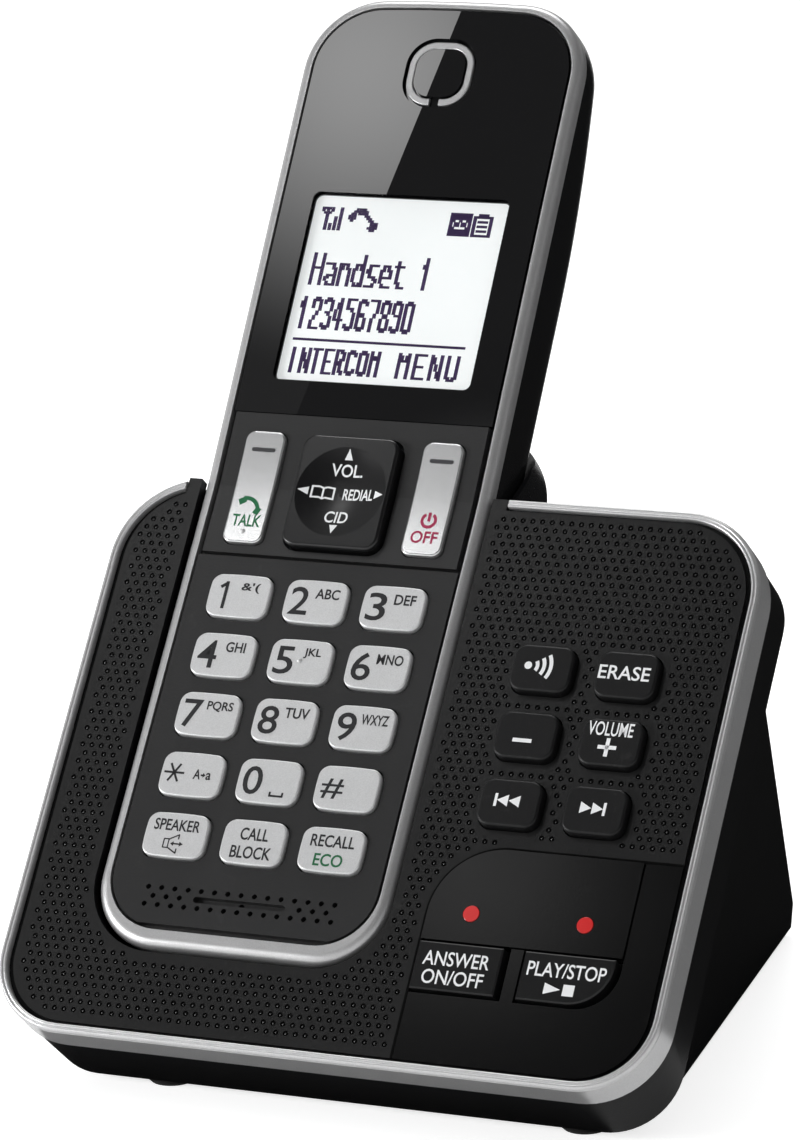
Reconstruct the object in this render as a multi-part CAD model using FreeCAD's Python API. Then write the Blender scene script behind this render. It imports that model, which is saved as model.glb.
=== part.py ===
import FreeCAD, Part
import math
import os
from FreeCAD import Rotation, Vector

# Answering machine: a sloping base with a cordless handset docked in its cradle.
#
# Three frames are used, all in millimetres:
#   face frame     x across the base, y up its sloping face from the lower edge, z out of the face
#   handset frame  the face frame moved sideways, so that x = 0 is the middle of the handset
#   desk frame     +Z up from the desk, +Y towards the back, origin under the middle of the object

# ---------------------------------------------------------------- driving dimensions
# Base
FACE_WIDTH = 108.2
FACE_HEIGHT = 94.0
FACE_CORNER = 12.4
FACE_TOP_CORNER = 14.3
FACE_LEAN = 50.0
SLAB_DEPTH = 17.6
SLAB_BACK_INSET = 1.5
SLAB_BACK_TOP_INSET = 0.7
SLAB_BACK_CORNER = 10.6
HOUSING_WALL = 2.0
RIM_WIDTH = 1.65
RIM_PROUD = 0.5
RIM_DEPTH = 5.8
RIM_ROUND = 0.7
RIM_FLARE = 0.45
COVER_THICK = 2.0
BASE_DEPTH = 110.8
BACK_SLOPE_DROP = 12.0
REAR_WALL_HEIGHT = 4.2
WEDGE_INSET = 5.95
WEDGE_DRAFT = 9.06
WEDGE_CORNER = 10.0
BOTTOM_THICK = 2.4
FOOT_HEIGHT = 1.3
FOOT_RADIUS = 4.0
FOOT_SUNK = 0.8
FOOT_CHAMFER = 0.5
FOOT_SCREW_HEAD = 0.8
FOOT_SCREW_REACH = 4.6
FOOT_BOSS_HEIGHT = 6.0
FRONT_FOOT_SETBACK = 4.8
REAR_FOOT_SETBACK = 9.0
LEFT_FOOT_INSET = 22.7
RIGHT_FOOT_INSET = 16.7
REAR_FOOT_INSET = 22.6

# Handset
HANDSET_WIDTH = 48.7
HANDSET_OFFSET = -17.15
HANDSET_FOOT = 15.3
HANDSET_LENGTH = 163.7
HANDSET_BEND = 77.66
HANDSET_BEND_ANGLE = 4.1
HANDSET_DEPTH = 19.6
HANDSET_DEPTH_BOTTOM = 17.4
HANDSET_DEPTH_TOP = 11.5
HANDSET_FLAT_START = 29.7
HANDSET_FLAT_END = 116.0
HANDSET_CORNER = 11.2
HANDSET_TOP_CORNER = 12.8
HANDSET_TOP_ARCH = 0.9
HANDSET_BACK_ROUND = 10.5
HANDSET_WALL = 1.6
BAND_SIDE = 1.75
BAND_CHIN = 2.9
BAND_DEPTH = 2.3
BAND_ROUND = 1.55
GROOVE = 0.45
CHIN_GROOVE = 0.9
FRONT_SKIN = 1.2
FRONT_CASE_DEPTH = 2.2

# Cradle
CRADLE_SIDE_GAP = 0.6
CRADLE_END_GAP = 0.8
CRADLE_BACK_GAP = 0.3
CRADLE_WALL = 2.0
BACK_REST_RISE = 20.0
BACK_REST_INSET = 1.2
CRADLE_TOP_CORNER = 14.0
CRADLE_OUTER_ROUND = 7.0
CRADLE_INNER_ROUND = 10.0
CRADLE_SHOULDER = 17.0
REST_PAD_GAP = 0.3
REST_PAD_WIDTH = 4.0
LEFT_LIP = 0.35
RIGHT_LIP = 0.7
LIP_DROP = 0.1

# Gaps and fits
SLIP = 0.15
COVER_SEAM = 0.3
SEAT = 0.05
KEY_GAP = 0.25
PIN_FIT = 0.08

# Keys of the handset
KEY_PITCH_X = 13.1
KEY_WIDTH = 10.5
KEY_SPACE_Y = 2.73
KEYS_BELOW_BEND = 18.96
KEYS_ABOVE_FOOT = 18.18
KEY_CORNER = 1.8
KEY_BULGE = 0.18
KEY_PROUD = 0.7
KEY_TRAVEL = 0.5
KEY_FLANGE = 0.7
KEY_FLANGE_THICK = 0.6
KEY_ROUND = 0.3
KEY_ROWS = (
    ("key_1", "key_2", "key_3"),
    ("key_4", "key_5", "key_6"),
    ("key_7", "key_8", "key_9"),
    ("key_star", "key_0", "key_hash"),
    ("speaker_key", "block_key", "recall_key"),
)

# Function area of the handset, around the bend
PANEL_SIDE_GAP = 0.9
PANEL_BELOW_BEND = 11.7
PANEL_ABOVE_BEND = 12.65
SEAM = 0.3
TALK_INSET = 6.43
TALK_WIDTH = 6.75
TALK_HEIGHT = 19.1
TALK_CENTRE = -0.25
TALK_CORNER = 1.5
TALK_PROUD = 0.8
TALK_HOLLOW = 0.34
NAV_WIDTH = 16.4
NAV_HEIGHT = 18.9
NAV_CENTRE = -0.45
NAV_CORNER = 2.2
NAV_PROUD = 2.0
NAV_DISH_RADIUS = 7.6
NAV_DISH_DEPTH = 1.1
NAV_ROUND = 0.5
NAV_TILT_GAP = 0.45
NAV_BODY_DEPTH = 1.6
PIVOT_RADIUS = 1.0
PIVOT_DEPTH = 2.35

# Display, receiver and microphone
LENS_GAP = 0.15
WINDOW_WIDTH = 34.0
WINDOW_HEIGHT = 32.6
WINDOW_BOTTOM = 18.6
WINDOW_CORNER = 1.2
MODULE_FRAME = 1.5
RING_SIZE = 11.2
RING_BELOW_TOP = 13.24
RING_CORNER = 4.3
RING_WIDTH = 1.25
RING_GROOVE_EXTRA = 0.45
RING_GROOVE_DEPTH = 0.9
RING_THICK = 0.6
RING_GAP = 1.7
CAPSULE_RADIUS = 7.0
MIC_PITCH = 2.236
MIC_ROW_PITCH = 1.4
MIC_ABOVE_FOOT = 8.3
MIC_HOLE = 0.42
MIC_SLOT = 15.4
MIC_SLOT_WIDTH = 1.0
MIC_RADIUS = 3.0
MIC_DEPTH = 1.6

# Inside the handset
MAT_THICK = 0.7
BOARD_THICK = 0.8
CELL_RADIUS = 5.25
CELL_LENGTH = 44.5
CELL_GAP = 0.3
CELL_TIP = 1.0
CELLS_ABOVE_FOOT = 21.9
CELL_AXIS_DEPTH = 12.4
BAY_WALL = 1.0
BAY_DEPTH = 6.0
BAY_END = 1.5
BATTERY_COVER_HALF = 13.2
BATTERY_COVER_LAP = 1.5
GRIP_GROOVES = 3
GRIP_START = 9.0
GRIP_PITCH = 1.7
GRIP_WIDTH = 0.9
GRIP_LENGTH = 10.0
GRIP_DEPTH = 0.4
CONTACT_THICK = 0.4
CHARGE_X = 5.0
CHARGE_ABOVE_FOOT = 8.7
CHARGE_SIZE = 6.0
CHARGE_PLATE_THICK = 1.2
CHARGE_PLATE_OFFSET = 0.5
RINGER_RADIUS = 9.0
RINGER_HEIGHT = 4.0
RINGER_SEAT = 0.4
RINGER_BELOW_TOP = 61.0
RINGER_SLOT_PITCH = 3.0
RINGER_SLOT_WIDTH = 1.2
SCREW_X = 9.5
SCREW_ABOVE_FOOT = 15.4
SCREW_RADIUS = 1.3
SCREW_HEAD = 2.3
SCREW_HEAD_THICK = 1.4
BOSS_RADIUS = 3.3
COVER_LEDGE = 1.6

# Controls of the base
CONTROL_FROM_RIGHT = 17.3
CONTROL_PITCH_X = 13.75
CONTROL_ABOVE_PANEL = 7.1
CONTROL_PITCH_Y = 11.1
CONTROL_WIDTH = 9.8
CONTROL_HEIGHT = 7.6
CONTROL_CORNER = 2.0
CONTROL_PROUD = 1.5
CONTROL_TRAVEL = 0.8
CONTROL_ROUND = 0.45
CONTROL_KEYS = (
    ("locator_key", "erase_key"),
    ("volume_down_key", "volume_up_key"),
    ("skip_back_key", "skip_forward_key"),
)
PANEL_FROM_CRADLE = 5.9
PANEL_TOP = 36.4
PANEL_SWEEP = 11.0
PANEL_STRIP = 6.05
LIGHT_PANEL_BOTTOM = 21.1
LIGHT_PANEL_PROUD = 0.35
LEFT_LIGHT_INSET = 7.1
RIGHT_LIGHT_INSET = 7.0
LIGHT_Y = 25.7
LIGHT_RADIUS = 1.3
LIGHT_PROUD = 0.12
ANSWER_INSET = 0.2
PLAY_INSET = 0.7
PLAY_WIDTH = 14.4
BAR_SPACE = 3.5
PLAY_CORNER = 6.6
BAR_BOTTOM = 13.0
BAR_TOP = 20.6
BAR_PROUD = 0.9
BAR_WELL_BOTTOM = 12.6

# Inside the base
BASE_MAT_THICK = 1.0
BASE_BOARD_THICK = 1.6
BASE_BOARD_GAP = 0.4
BOARD_FROM_CRADLE = 2.2
BOARD_ABOVE_KEYS = 1.8
BASE_BOARD_CORNER = 9.0
POST_RADIUS = 2.0
POST_INSET = 3.0
SPEAKER_FROM_RIGHT = 23.1
SPEAKER_GAP = 0.35
SPEAKER_HEIGHT = 5.0
SPEAKER_RING = 1.0
CHARGE_PIN_RADIUS = 1.2
CHARGE_PIN_FLANGE = 2.0
CHARGE_PIN_LENGTH = 9.0
CHARGE_PIN_FLANGE_THICK = 0.8

# Sockets at the back
BAY_FLOOR = 8.0
SOCKET_BAY_WIDTH = 36.0
SOCKET_BAY_FRONT = 86.0
LINE_JACK_X = -8.0
LINE_JACK_SIZE = (13.0, 14.0, 12.0)
LINE_MOUTH = (9.8, 7.0)
LINE_MOUTH_DEPTH = 11.0
LATCH_WIDTH = 6.2
LATCH_HEIGHT = 2.2
POWER_JACK_X = 9.0
POWER_JACK_SIZE = (9.0, 14.0, 11.0)
POWER_BORE = 2.9
POWER_PIN = 1.0
POWER_BORE_DEPTH = 9.5
SOCKET_HEIGHT = 9.0

# ---------------------------------------------------------------- sizes worked out from them
BEND_Y = HANDSET_FOOT + HANDSET_BEND
HANDSET_TOP = HANDSET_FOOT + HANDSET_LENGTH
HALF_HANDSET = HANDSET_WIDTH / 2
PANEL_HALF_WIDTH = HALF_HANDSET - BAND_SIDE - PANEL_SIDE_GAP
TALK_X = PANEL_HALF_WIDTH - TALK_INSET
FIRST_KEY_ROW = BEND_Y - KEYS_BELOW_BEND
LAST_KEY_ROW = HANDSET_FOOT + KEYS_ABOVE_FOOT
KEY_PITCH_Y = (FIRST_KEY_ROW - LAST_KEY_ROW) / (len(KEY_ROWS) - 1)
KEY_HEIGHT = KEY_PITCH_Y - KEY_SPACE_Y
MIC_ROW = HANDSET_FOOT + MIC_ABOVE_FOOT
CHARGE_Y = HANDSET_FOOT + CHARGE_ABOVE_FOOT
SCREW_Y = HANDSET_FOOT + SCREW_ABOVE_FOOT
CELL_START = HANDSET_FOOT + CELLS_ABOVE_FOOT
RINGER_Y = HANDSET_TOP - RINGER_BELOW_TOP
RING_CENTRE = HANDSET_LENGTH - HANDSET_BEND - RING_BELOW_TOP
CRADLE_LEFT = HANDSET_OFFSET - HALF_HANDSET - CRADLE_SIDE_GAP
CRADLE_RIGHT = HANDSET_OFFSET + HALF_HANDSET + CRADLE_SIDE_GAP
CRADLE_FOOT = HANDSET_FOOT - CRADLE_END_GAP
CRADLE_FLOOR = -(HANDSET_DEPTH + CRADLE_BACK_GAP)
CRADLE_CORNER = HANDSET_CORNER + CRADLE_SIDE_GAP
CRADLE_BACK_TOP = FACE_HEIGHT + BACK_REST_RISE
BACK_SLOPE_TOP = FACE_HEIGHT - BACK_SLOPE_DROP
LIP_LEFT = CRADLE_LEFT - CRADLE_WALL - LEFT_LIP
LIP_RIGHT = CRADLE_RIGHT + CRADLE_WALL + RIGHT_LIP
LIP_TOP = FACE_HEIGHT - LIP_DROP
COVER_INSET = RIM_WIDTH + COVER_SEAM
HOUSING_INSET = RIM_WIDTH + SLIP + HOUSING_WALL
PANEL_LEFT = CRADLE_RIGHT + PANEL_FROM_CRADLE
PANEL_RIGHT = FACE_WIDTH / 2 - COVER_INSET
PANEL_BOTTOM = COVER_INSET
PANEL_CORNER = FACE_CORNER - COVER_INSET
LIGHT_PANEL_RIGHT = PANEL_RIGHT - PANEL_STRIP
LIGHT_X = (PANEL_LEFT + LEFT_LIGHT_INSET, LIGHT_PANEL_RIGHT - RIGHT_LIGHT_INSET)
ANSWER_LEFT = PANEL_LEFT + ANSWER_INSET
PLAY_RIGHT = LIGHT_PANEL_RIGHT - PLAY_INSET
PLAY_LEFT = PLAY_RIGHT - PLAY_WIDTH
ANSWER_RIGHT = PLAY_LEFT - BAR_SPACE
CONTROL_X = FACE_WIDTH / 2 - CONTROL_FROM_RIGHT - CONTROL_PITCH_X
CONTROL_Y = PANEL_TOP + CONTROL_ABOVE_PANEL + (len(CONTROL_KEYS) - 1) * CONTROL_PITCH_Y
BASE_BOARD_LEFT = CRADLE_RIGHT + CRADLE_WALL + BOARD_FROM_CRADLE
BASE_BOARD_RIGHT = FACE_WIDTH / 2 - HOUSING_INSET - BASE_BOARD_GAP
BASE_BOARD_BOTTOM = HOUSING_INSET + BASE_BOARD_GAP
BASE_BOARD_TOP = CONTROL_Y + CONTROL_HEIGHT / 2 + BOARD_ABOVE_KEYS
SPEAKER_X = FACE_WIDTH / 2 - SPEAKER_FROM_RIGHT
SPEAKER_SPACE_TOP = FACE_HEIGHT - HOUSING_INSET
SPEAKER_Y = (BASE_BOARD_TOP + SPEAKER_SPACE_TOP) / 2
SPEAKER_RADIUS = (SPEAKER_SPACE_TOP - BASE_BOARD_TOP) / 2 - SPEAKER_RING - SPEAKER_GAP
RIM_LOW = RIM_PROUD - RIM_DEPTH
UNDERSIDE = FOOT_HEIGHT
FACE_LIFT = FOOT_HEIGHT + SLAB_DEPTH * math.cos(math.radians(FACE_LEAN))
FAR = 400.0


# ---------------------------------------------------------------- simple forms
def block(x0, x1, y0, y1, z0, z1):
    return Part.makeBox(x1 - x0, y1 - y0, z1 - z0, Vector(x0, y0, z0))


def rod(x, y, z0, z1, radius):
    """Round rod along z."""
    return Part.makeCylinder(radius, z1 - z0, Vector(x, y, z0))


def rounded_outline(x0, x1, y0, y1, radii):
    """Rectangle whose corners, from lower left and going round to the right, have these radii."""
    corners = ((x0, y0), (x1, y0), (x1, y1), (x0, y1))
    ahead = ((1, 0), (0, 1), (-1, 0), (0, -1))
    starts, ends, edges = [], [], []
    for (cx, cy), radius, (ax, ay), (bx, by) in zip(corners, radii, ahead, ahead[-1:] + ahead[:-1]):
        starts.append(Vector(cx - bx * radius, cy - by * radius, 0))
        ends.append(Vector(cx + ax * radius, cy + ay * radius, 0))
        if radius > 0:
            centre = Vector(cx - bx * radius + ax * radius, cy - by * radius + ay * radius, 0)
            middle = centre + (Vector(cx, cy, 0) - centre).normalize() * radius
            edges.append(Part.Arc(starts[-1], middle, ends[-1]).toShape())
    for i in range(4):
        edges.append(Part.makeLine(ends[i], starts[(i + 1) % 4]))
    return Part.Wire(Part.__sortEdges__(edges))


def rounded_block(x0, x1, y0, y1, z0, z1, radii):
    """Plate with rounded corners; radii is one number or four, from the lower left corner."""
    if not isinstance(radii, tuple):
        radii = (radii,) * 4
    wire = rounded_outline(x0, x1, y0, y1, radii)
    wire.translate(Vector(0, 0, z0))
    return Part.Face(wire).extrude(Vector(0, 0, z1 - z0))


def centred_block(x, y, width, height, z0, z1, radii):
    return rounded_block(x - width / 2, x + width / 2, y - height / 2, y + height / 2, z0, z1, radii)


def side_profile(points, half_width):
    """Solid whose outline in the y-z plane is this polygon, from -half_width to +half_width in x."""
    corners = [Vector(-half_width, y, z) for y, z in points]
    wire = Part.makePolygon(corners + corners[:1])
    return Part.Face(wire).extrude(Vector(2 * half_width, 0, 0))


def edges_at(solid, z, tolerance=0.01):
    """Edges that lie wholly at height z."""
    return [e for e in solid.Edges
            if abs(e.BoundBox.ZMin - z) < tolerance and abs(e.BoundBox.ZMax - z) < tolerance]


def round_edges_at(solid, z, radius):
    return solid.makeFillet(radius, edges_at(solid, z))


# ---------------------------------------------------------------- frames
def turned(shape, angle, y=0.0, z=0.0):
    """Copy of the shape, turned about the line along x through (y, z)."""
    copy = shape.copy()
    copy.rotate(Vector(0, y, z), Vector(1, 0, 0), angle)
    return copy


def moved(shape, x=0.0, y=0.0, z=0.0):
    copy = shape.copy()
    copy.translate(Vector(x, y, z))
    return copy


def on_desk(shape):
    """From the face frame to the desk frame, before centring."""
    return moved(turned(shape, FACE_LEAN), z=FACE_LIFT)


def docked(shape):
    """From the handset frame to the desk frame, before centring."""
    return on_desk(moved(shape, x=HANDSET_OFFSET))


def face_to_desk(y, z):
    """The (y, z) of a face-frame point in the desk frame, before centring."""
    lean = math.radians(FACE_LEAN)
    return (y * math.cos(lean) - z * math.sin(lean), y * math.sin(lean) + z * math.cos(lean) + FACE_LIFT)


def above_bend(shape):
    """Tilts forward what lies on the upper part of the handset."""
    return turned(shape, HANDSET_BEND_ANGLE, BEND_Y)


def across_bend(shape):
    """Lays a rigid piece halfway between the lower and the upper part of the handset."""
    return turned(shape, HANDSET_BEND_ANGLE / 2, BEND_Y)


def bent(shape):
    """Bends a straight handset piece at the bend line, with a mitre through its whole depth."""
    below = turned(block(-FAR, FAR, BEND_Y - FAR, BEND_Y, -FAR, FAR), HANDSET_BEND_ANGLE / 2, BEND_Y)
    over = turned(block(-FAR, FAR, BEND_Y, BEND_Y + FAR, -FAR, FAR), HANDSET_BEND_ANGLE / 2, BEND_Y)
    lower = shape.common(below)
    upper = above_bend(shape).common(over)
    return lower.fuse(upper).removeSplitter()


# ---------------------------------------------------------------- handset casing
def handset_outline_block(side, chin, top, z0, z1):
    """Upright block with the handset's front outline, drawn in by side, chin and top."""
    half = HALF_HANDSET - side
    low = HANDSET_FOOT + chin
    high = HANDSET_TOP - top
    shoulder = high - HANDSET_TOP_ARCH
    corners = [Vector(-half, low, z0), Vector(half, low, z0), Vector(half, shoulder, z0),
               Vector(0, high, z0), Vector(-half, shoulder, z0)]
    edges = [Part.makeLine(corners[0], corners[1]), Part.makeLine(corners[1], corners[2]),
             Part.Arc(corners[2], corners[3], corners[4]).toShape(), Part.makeLine(corners[4], corners[0])]
    solid = Part.Face(Part.Wire(edges)).extrude(Vector(0, 0, z1 - z0))
    upright = [e for e in solid.Edges if abs(e.BoundBox.ZLength - abs(z1 - z0)) < 0.01]
    lower = [e for e in upright if e.BoundBox.YMax < BEND_Y]
    solid = solid.makeFillet(HANDSET_CORNER - side, lower)
    upper = [e for e in solid.Edges if abs(e.BoundBox.ZLength - abs(z1 - z0)) < 0.01
             and e.BoundBox.YMin > BEND_Y]
    return solid.makeFillet(HANDSET_TOP_CORNER - side, upper)


def back_profile(inset):
    """Side outline of the handset: flat in the middle, curving forward to both ends."""
    deep = HANDSET_DEPTH - inset
    flat_low = HANDSET_FOOT + HANDSET_FLAT_START
    flat_high = HANDSET_FOOT + HANDSET_FLAT_END

    def arc(y_flat, y_end, rise):
        run = abs(y_end - y_flat)
        radius = (run * run + rise * rise) / (2 * rise)
        half_run = (y_end - y_flat) / 2
        sag = radius - math.sqrt(radius * radius - half_run * half_run)
        return Part.Arc(Vector(0, y_flat, -deep), Vector(0, y_flat + half_run, -deep + sag),
                        Vector(0, y_end, -deep + rise)).toShape()

    low_rise = HANDSET_DEPTH - HANDSET_DEPTH_BOTTOM
    high_rise = HANDSET_DEPTH - HANDSET_DEPTH_TOP
    bottom = Vector(0, HANDSET_FOOT, -deep + low_rise)
    top = Vector(0, HANDSET_TOP, -deep + high_rise)
    front_low = Vector(0, HANDSET_FOOT, 0)
    front_high = Vector(0, HANDSET_TOP, 0)
    edges = [Part.makeLine(front_high, front_low), Part.makeLine(front_low, bottom),
             arc(flat_low, HANDSET_FOOT, low_rise),
             Part.makeLine(Vector(0, flat_low, -deep), Vector(0, flat_high, -deep)),
             arc(flat_high, HANDSET_TOP, high_rise), Part.makeLine(top, front_high)]
    return Part.Wire(Part.__sortEdges__(edges))


def handset_body(inset):
    """Whole straight handset, drawn in all round by inset, with its big rounding at the back."""
    profile = Part.Face(back_profile(inset)).extrude(Vector(HANDSET_WIDTH, 0, 0))
    profile = moved(profile, x=-HALF_HANDSET)
    solid = handset_outline_block(inset, inset, inset, 0, -2 * HANDSET_DEPTH).common(profile)
    low = HANDSET_FOOT + inset + 1
    high = HANDSET_TOP - inset - HANDSET_CORNER

    def on_back(edge):
        box = edge.BoundBox
        level = box.ZMax < -HANDSET_DEPTH_TOP / 2
        joint_of_faces = box.YLength < 0.01 and low < box.YMin < high
        return level and not joint_of_faces

    return solid.makeFillet(HANDSET_BACK_ROUND - inset, [e for e in solid.Edges if on_back(e)])


def battery_bay(inner):
    """Open box for the two cells: solid walls, or the space inside them."""
    half = 2 * CELL_RADIUS + CELL_GAP * 1.5
    start = CELL_START - BAY_END
    end = CELL_START + CELL_LENGTH + BAY_END
    if inner:
        return block(-half, half, start, end, -2 * HANDSET_DEPTH, -BAY_DEPTH - BAY_WALL)
    return block(-half - BAY_WALL, half + BAY_WALL, start - BAY_WALL, end + BAY_WALL,
                 -HANDSET_DEPTH + HANDSET_WALL, -BAY_DEPTH)


def battery_cover_zone(gap):
    """Column through the back wall in which the battery cover lies."""
    start = CELL_START - BAY_END - BATTERY_COVER_LAP
    end = CELL_START + CELL_LENGTH + BAY_END + BATTERY_COVER_LAP
    half = BATTERY_COVER_HALF
    return rounded_block(-half - gap, half + gap, start - gap, end + gap,
                         -2 * HANDSET_DEPTH, -HANDSET_DEPTH_TOP, BATTERY_COVER_LAP)


def cover_pocket(outer, depth, gap):
    """Outer skin of the handset within the outline of the battery cover."""
    return battery_cover_zone(gap).common(outer.cut(handset_body(depth)))


def battery_cover(outer):
    """Sliding cover of the battery bay, with grooves for the finger near its lower end."""
    cover = cover_pocket(outer, HANDSET_WALL, 0)
    for i in range(GRIP_GROOVES):
        y = CELL_START + GRIP_START + i * GRIP_PITCH
        cover = cover.cut(centred_block(0, y, GRIP_LENGTH, GRIP_WIDTH, -FAR, -HANDSET_DEPTH + GRIP_DEPTH,
                                        GRIP_WIDTH * 0.45))
    return cover


def handset_back_case(outer, inner):
    shell = outer.cut(inner).common(block(-FAR, FAR, -FAR, FAR, -FAR, -BAND_DEPTH - SEAT))
    ledge = battery_cover_zone(COVER_LEDGE).common(
        block(-FAR, FAR, -FAR, FAR, -HANDSET_DEPTH, -HANDSET_DEPTH + HANDSET_WALL + BAY_WALL))
    shell = shell.fuse(ledge.common(outer)).fuse(battery_bay(False).common(outer))
    shell = shell.cut(cover_pocket(outer, HANDSET_WALL + SEAT, SLIP)).cut(battery_bay(True))
    for side in (-1, 1):
        x = side * SCREW_X
        boss = rod(x, SCREW_Y, -HANDSET_DEPTH, -FRONT_CASE_DEPTH - SEAT - BAND_DEPTH, BOSS_RADIUS)
        shell = shell.fuse(boss.common(outer).cut(battery_bay(True)))
        shell = shell.cut(rod(x, SCREW_Y, -FAR, -BAND_DEPTH, SCREW_RADIUS + SLIP))
        shell = shell.cut(rod(x, SCREW_Y, -FAR, screw_seat(), SCREW_HEAD + SLIP))
        shell = shell.cut(charge_plate(side, SLIP))
    for row in range(-2, 3):
        y = RINGER_Y + row * RINGER_SLOT_PITCH
        half = math.sqrt(RINGER_RADIUS ** 2 - (row * RINGER_SLOT_PITCH) ** 2) - RINGER_SLOT_WIDTH
        slot = centred_block(0, y, 2 * half, RINGER_SLOT_WIDTH, -FAR, -HANDSET_DEPTH_TOP,
                             RINGER_SLOT_WIDTH * 0.45)
        shell = shell.cut(slot)
    return bent(shell.removeSplitter())


def screw_seat():
    """Height at which the heads of the handset's screws stop in the back case."""
    return -HANDSET_DEPTH + HANDSET_WALL + SCREW_HEAD_THICK


def charge_plate(side, gap=0.0):
    """Metal contact let into the lower back of the handset."""
    depth = HANDSET_DEPTH - charge_rise()
    half = CHARGE_SIZE / 2 + gap
    x = side * (CHARGE_X + CHARGE_PLATE_OFFSET)
    return block(x - half, x + half, CHARGE_Y - half, CHARGE_Y + half,
                 -depth - gap, -depth + CHARGE_PLATE_THICK + gap)


def charge_rise():
    """How far the curved back lies forward of its flat part, at the charge contacts."""
    run = HANDSET_FLAT_START
    rise = HANDSET_DEPTH - HANDSET_DEPTH_BOTTOM
    radius = (run * run + rise * rise) / (2 * rise)
    away = HANDSET_FOOT + HANDSET_FLAT_START - CHARGE_Y
    return radius - math.sqrt(radius * radius - away * away) + SEAT


def handset_band():
    """Metallic trim band that runs round the front of the handset."""
    ring = handset_outline_block(0, 0, 0, -BAND_DEPTH, 0)
    ring = ring.makeFillet(BAND_ROUND, [e for e in edges_at(ring, 0)])
    ring = ring.cut(handset_outline_block(BAND_SIDE, BAND_CHIN, BAND_SIDE, -FAR, FAR))
    return bent(ring)


def front_zone(groove, z0, z1, low, high):
    """Part of the front inside the band, between two heights along the handset."""
    area = handset_outline_block(BAND_SIDE + groove, BAND_CHIN + max(groove, 0), BAND_SIDE + groove, z0, z1)
    return area.common(block(-FAR, FAR, low, high, -FAR, FAR))


def key_places():
    for row, names in enumerate(KEY_ROWS):
        for column, name in enumerate(names):
            yield name, (column - 1) * KEY_PITCH_X, FIRST_KEY_ROW - row * KEY_PITCH_Y


def mic_holes():
    """Three rows of small holes with a slot along the middle row."""
    holes = []
    for row in (-1, 0, 1):
        count = 15 if row else 14
        for i in range(count):
            x = (i - (count - 1) / 2) * MIC_PITCH
            if row or abs(x) > MIC_SLOT / 2 + MIC_PITCH / 2:
                holes.append(rod(x, MIC_ROW + row * MIC_ROW_PITCH, -FRONT_SKIN, FAR, MIC_HOLE))
    slot = centred_block(0, MIC_ROW, MIC_SLOT, MIC_SLOT_WIDTH, -FRONT_SKIN, FAR, MIC_SLOT_WIDTH * 0.49)
    port = rod(0, MIC_ROW, -FAR, FAR, MIC_HOLE)
    return Part.makeCompound(holes), slot.fuse(port)


def handset_front_case():
    """Black front: a deep keypad area, and a thinner seat for the function panel and the lens."""
    keypad_top = BEND_Y - PANEL_BELOW_BEND - SEAM
    seat = front_zone(SLIP, -FRONT_CASE_DEPTH, -FRONT_SKIN, -FAR, FAR)
    keypad = front_zone(GROOVE, -FRONT_SKIN, 0, HANDSET_FOOT + BAND_CHIN + CHIN_GROOVE, keypad_top)
    case = seat.fuse(keypad)
    for name, x, y in key_places():
        case = case.cut(key_outline(x, y, KEY_GAP, -FAR, FAR))
    holes, slot = mic_holes()
    case = case.cut(holes).cut(slot)
    case = case.cut(centred_block(0, BEND_Y + WINDOW_BOTTOM + WINDOW_HEIGHT / 2,
                                  WINDOW_WIDTH, WINDOW_HEIGHT, -FAR, FAR, WINDOW_CORNER))
    case = case.cut(rod(0, BEND_Y + RING_CENTRE, -FAR, FAR, RING_SIZE / 4))
    case = bent(case.removeSplitter())
    for well in function_wells(NAV_TILT_GAP, KEY_GAP):
        case = case.cut(well)
    return case


def function_wells(nav_gap, key_gap):
    """Openings for the navigator, talk and off keys."""
    nav = centred_block(0, BEND_Y + NAV_CENTRE, NAV_WIDTH + 2 * nav_gap, NAV_HEIGHT + 2 * nav_gap,
                        -FAR, FAR, NAV_CORNER + nav_gap)
    sides = [centred_block(side * TALK_X, BEND_Y + TALK_CENTRE, TALK_WIDTH + 2 * key_gap,
                           TALK_HEIGHT + 2 * key_gap, -FAR, FAR, TALK_CORNER + key_gap) for side in (-1, 1)]
    return [across_bend(well) for well in [nav] + sides]


def function_panel():
    """Separate panel round the navigator, split from the keypad by a seam."""
    low = BEND_Y - PANEL_BELOW_BEND + SEAM
    high = BEND_Y + PANEL_ABOVE_BEND
    panel = bent(block(-PANEL_HALF_WIDTH, PANEL_HALF_WIDTH, low, high, -FRONT_SKIN, 0))
    for well in function_wells(NAV_TILT_GAP, KEY_GAP):
        panel = panel.cut(well)
    return panel


def display_lens():
    """Glossy window over the display, with a groove for the receiver ring."""
    low = BEND_Y + PANEL_ABOVE_BEND + LENS_GAP
    lens = front_zone(GROOVE, -FRONT_SKIN + SEAT, 0, low, FAR)
    lens = lens.cut(ring_form(RING_GROOVE_EXTRA, -RING_GROOVE_DEPTH, FAR))
    return above_bend(lens)


def ring_form(extra, z0, z1):
    """Squared ring round the receiver, widened outwards and inwards by extra."""
    y = BEND_Y + RING_CENTRE
    outer = RING_SIZE + 2 * extra
    inner = RING_SIZE - 2 * RING_WIDTH - 2 * extra / 3
    form = centred_block(0, y, outer, outer, z0, z1, RING_CORNER + extra)
    return form.cut(centred_block(0, y, inner, inner, z0, z1, RING_CORNER - RING_WIDTH))


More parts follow.
